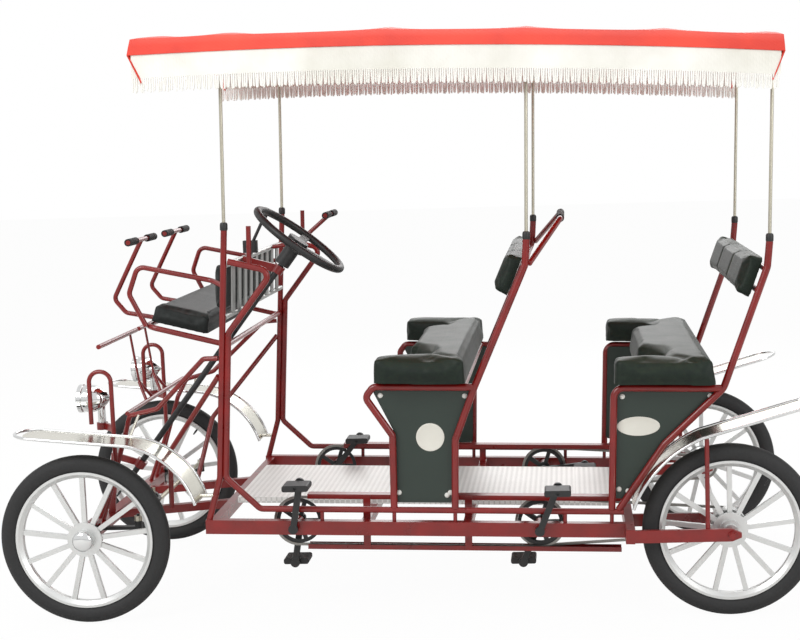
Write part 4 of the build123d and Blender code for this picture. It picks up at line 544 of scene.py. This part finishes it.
lengthwise, crosswise, flapRows = 110, 60, 6
stations = [roof["front"] + (roof["rear"] - roof["front"]) * i / lengthwise for i in range(lengthwise + 1)]
spread = [roof["half"] * (2 * j / crosswise - 1) for j in range(crosswise + 1)]
rows = []
for k in range(flapRows, 0, -1):
    drop = k / flapRows
    rows.append([Vector(roofPoint(roof["front"], y)) + Vector((roof["lean"] * drop, 0, -roof["flap"] * drop)) / 1000
                 + Vector((0.004 * drop * math.sin(y / 38), 0, 0)) for y in spread])
for x in stations:
    rows.append([Vector(roofPoint(x, y)) for y in spread])
for k in range(1, flapRows + 1):
    drop = k / flapRows
    rows.append([Vector(roofPoint(roof["rear"], y)) + Vector((-roof["lean"] * drop, 0, -roof["flap"] * drop)) / 1000
                 + Vector((0.004 * drop * math.sin(y / 41), 0, 0)) for y in spread])
bpy.ops.mesh.primitive_grid_add(x_subdivisions=crosswise, y_subdivisions=len(rows) - 1, size=1)
roofSheet = bpy.context.object
across = sorted({round(v.co.x, 5) for v in roofSheet.data.vertices})
along = sorted({round(v.co.y, 5) for v in roofSheet.data.vertices})
for vertex in roofSheet.data.vertices:
    vertex.co = rows[along.index(round(vertex.co.y, 5))][across.index(round(vertex.co.x, 5))]
bpy.ops.object.mode_set(mode="EDIT")
bpy.ops.mesh.select_all(action="SELECT")
bpy.ops.mesh.normals_make_consistent(inside=False)
bpy.ops.object.mode_set(mode="OBJECT")
skin = roofSheet.modifiers.new("skin", "SOLIDIFY")
skin.thickness, skin.offset = roof["skin"], 0
applyAll(roofSheet)
finishPiece(roofSheet, "canopyRoof", redCanvas, smooth=50)
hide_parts("canopy_top")
print("canopy roof stretched")

# Side valances: a white band along each eave, and a cotton fringe hanging from its hem
valance = {"front": -903, "rear": 1269, "face": 637, "band": 80, "fringe": 48, "pitch": 7.5, "thread": 0.0034,
           "wave": 2.0, "skin": 0.0018}


def bandSpot(x, side, down):
    swing = valance["wave"] * math.sin(x / 61) * min(1, down / valance["band"])
    return Vector(leaned(x, side * (valance["face"] + swing - 2), eaveAt(x) + 3 - down))


bands, threads = [], []
for side in (-1, 1):
    bpy.ops.mesh.primitive_grid_add(x_subdivisions=150, y_subdivisions=6, size=1)
    band = bpy.context.object
    for vertex in band.data.vertices:
        x = valance["front"] + (valance["rear"] - valance["front"]) * (vertex.co.x + 0.5)
        vertex.co = bandSpot(x, side, valance["band"] * (0.5 - vertex.co.y))
    skin = band.modifiers.new("skin", "SOLIDIFY")
    skin.thickness, skin.offset = valance["skin"], 0
    applyAll(band)
    bands.append(band)
    count = int((valance["rear"] - valance["front"]) / valance["pitch"])
    verts, faces = [], []
    for i in range(count):
        x = valance["front"] + valance["pitch"] * (i + 0.5)
        drift = 3.0 * math.sin(i * 2.399) + 1.5 * math.sin(i * 0.71)
        length = valance["fringe"] + 3.0 * math.sin(i * 1.7)
        start = len(verts)
        for part, width in ((0, 1.0), (0.45, 1.05), (0.85, 1.1), (1.0, 0.85)):
            spot = bandSpot(x + drift * part * part, side, valance["band"] - 1 + length * part)
            for corner in range(5):
                turn = corner * math.tau / 5
                verts.append(spot + valance["thread"] * width * Vector((math.cos(turn), math.sin(turn), 0)))
        for ring in range(3):
            for corner in range(5):
                a, b = start + ring * 5 + corner, start + ring * 5 + (corner + 1) % 5
                faces.append((a, b, b + 5, a + 5))
        faces.append([start + c for c in range(4, -1, -1)])
        faces.append([start + 15 + c for c in range(5)])
    mesh = bpy.data.meshes.new("threads")
    mesh.from_pydata(verts, [], faces)
    thread = bpy.data.objects.new("threads", mesh)
    scene.collection.objects.link(thread)
    bpy.ops.object.select_all(action="DESELECT")
    thread.select_set(True)
    bpy.context.view_layer.objects.active = thread
    bpy.ops.object.mode_set(mode="EDIT")
    bpy.ops.mesh.select_all(action="SELECT")
    bpy.ops.mesh.normals_make_consistent(inside=False)
    bpy.ops.object.mode_set(mode="OBJECT")
    threads.append(thread)
bandSheet = finishPiece(joinAll(bands), "valanceBand", whiteCanvas, smooth=50)
fringe = finishPiece(joinAll(threads), "valanceFringe", fringeCotton, smooth=60)
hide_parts("canopy_valance")
print("valances hung")

# Turned trim: hub caps on the wheels, nylon rivets and blank plates on the panels
cap = {"profile": [(0.0365, 0), (0.0365, 0.004), (0.034, 0.009), (0.024, 0.0135), (0.012, 0.0155), (0, 0.016)],
       "steps": 32, "face": 0.0365, "wheels": {"front": -1.142, "rear": 1.142}, "wheelY": 0.545, "hubZ": 0.305}
for side, sign in (("left", -1), ("right", 1)):
    spot = (cap["wheels"]["front"], sign * (cap["wheelY"] + cap["face"]), cap["hubZ"])
    piece = copiesAt(turnedShape(cap["profile"], cap["steps"]), [(spot, (0, sign, 0))])
    finishPiece(piece, f"hubCapFront{side.title()}", chromePlate, f"wheel_front_{side}_body",
                smooth=50)
valve = {"profile": [(0.0042, 0), (0.0042, 0.022), (0.003, 0.023), (0.003, 0.031), (0, 0.032)], "steps": 12,
         "seat": 0.227, "turn": 0.9}
for end, x in cap["wheels"].items():
    for side, sign in (("left", -1), ("right", 1)):
        way = Vector((math.cos(valve["turn"]), 0, math.sin(valve["turn"])))
        spot = Vector((x, sign * cap["wheelY"], cap["hubZ"])) + way * valve["seat"]
        piece = copiesAt(turnedShape(valve["profile"], valve["steps"]), [(spot, -way)])
        finishPiece(piece, f"valve{end.title()}{side.title()}", blackPlastic,
                    f"wheel_{end}_{side}_body", smooth=50)
rivet = {"profile": [(0.0095, 0), (0.009, 0.0018), (0.006, 0.0034), (0.0025, 0.0042), (0, 0.0043)], "steps": 14,
         "face": 0.5175, "inset": 0.03, "corners": (40, 140, 200, 270, 340), "rows": ((-1.0, 0.4), (0.5, 1.2))}
spots = []
for low, high in rivet["rows"]:
    rim = [v.co for v in nodes["side_panels"].data.vertices if v.co.y < -0.515 and low < v.co.x < high]
    middle = sum(rim, Vector()) / len(rim)
    for angle in rivet["corners"]:
        way = Vector((math.cos(math.radians(angle)), 0, math.sin(math.radians(angle))))
        corner = max(rim, key=lambda c: c.dot(way))
        inward = (middle - corner).normalized() * rivet["inset"]
        for sign in (-1, 1):
            spots.append(((corner.x + inward.x, sign * rivet["face"], corner.z + inward.z), (0, sign, 0)))
finishPiece(copiesAt(turnedShape(rivet["profile"], rivet["steps"]), spots), "panelRivets", rivetWhite,
            smooth=60)
plate = {"profile": [(0.05, 0), (0.05, 0.0016), (0.0485, 0.0026), (0.045, 0.0026), (0.0435, 0.0018), (0, 0.0018)],
         "steps": 48, "round": (0.102, 0.645), "oval": (0.832, 0.67), "ovalScale": (1.5, 1.0, 0.68)}
plates = []
for sign in (-1, 1):
    plates.append(copiesAt(turnedShape(plate["profile"], plate["steps"]),
                           [((plate["round"][0], sign * rivet["face"], plate["round"][1]), (0, sign, 0))]))
    oval = copiesAt(turnedShape(plate["profile"], plate["steps"]), [((0, sign * rivet["face"], 0), (0, sign, 0))])
    oval.data.transform(Matrix.Diagonal((*plate["ovalScale"], 1)))
    oval.data.transform(Matrix.Translation((plate["oval"][0], 0, plate["oval"][1])))
    plates.append(oval)
finishPiece(joinAll(plates), "blankPlates", plateEnamel, smooth=40)
collar = {"profile": [(0.0064, 0), (0.0125, 0.0), (0.0135, 0.004), (0.0135, 0.02), (0.0115, 0.026), (0.0064, 0.028),
                      (0.0064, 0)],
          "steps": 24, "poles": ((-626, 1377), (425, 1345), (1256, 1337)), "railY": 530}
seats = [(leaned(x, sign * collar["railY"], z), (0.025, 0, 1)) for x, z in collar["poles"] for sign in (-1, 1)]
finishPiece(copiesAt(turnedShape(collar["profile"], collar["steps"]), seats), "poleCollars", blackPlastic,
            smooth=40)
print("turned trim set")

# Bright rolled rim round each fender's edge, following the plate's own outer corners and its rounded tip
rim = {"centreY": 0.545, "half": 0.08, "radius": 0.0055, "plate": 0.009, "hubZ": 0.305, "binDegrees": 2.0, "tip": 0.07,
       "tipSteps": 10}
rims = []
for nodeName, hubX in (("front_fenders", -1.142), ("rear_fenders", 1.142)):
    for sign in (-1, 1):
        edges = []
        for inset in (-1, 1):
            edgeY = sign * rim["centreY"] + inset * rim["half"]
            outer = {}
            for vertex in nodes[nodeName].data.vertices:
                if abs(vertex.co.y - edgeY) < 0.0008:
                    dx, dz = vertex.co.x - hubX, vertex.co.z - rim["hubZ"]
                    turn = math.degrees(math.atan2(dz, -dx if hubX < 0 else dx))
                    key = round(turn / rim["binDegrees"])
                    reach = math.hypot(dx, dz)
                    if key not in outer or reach > outer[key][0]:
                        outer[key] = (reach, vertex.co.copy())
            edge = []
            for key in sorted(outer, reverse=True):
                spot = outer[key][1]
                # of two corners through the plate's thickness, the upper one is kept
                if edge and (edge[-1] - spot).length < rim["plate"]:
                    spot = max(edge.pop(), spot, key=lambda c: c.z)
                edge.append(spot)
            edges.append(edge)
        # the plate's lower end comes first, and its tip last
        first, second = edges
        slope = (first[-1] - first[-2]).normalized()
        tip = []
        for k in range(1, rim["tipSteps"]):
            turn = math.pi * k / rim["tipSteps"]
            spot = first[-1] + slope * rim["tip"] * math.sin(turn)
            spot.y = sign * rim["centreY"] - rim["half"] * math.cos(turn)
            tip.append(spot)
        path = first + tip + second[::-1]
        rims.append(beadAlong(path, rim["radius"]))
finishPiece(joinAll(rims), "fenderRims", chromePlate, smooth=60)
print("fender rims rolled")
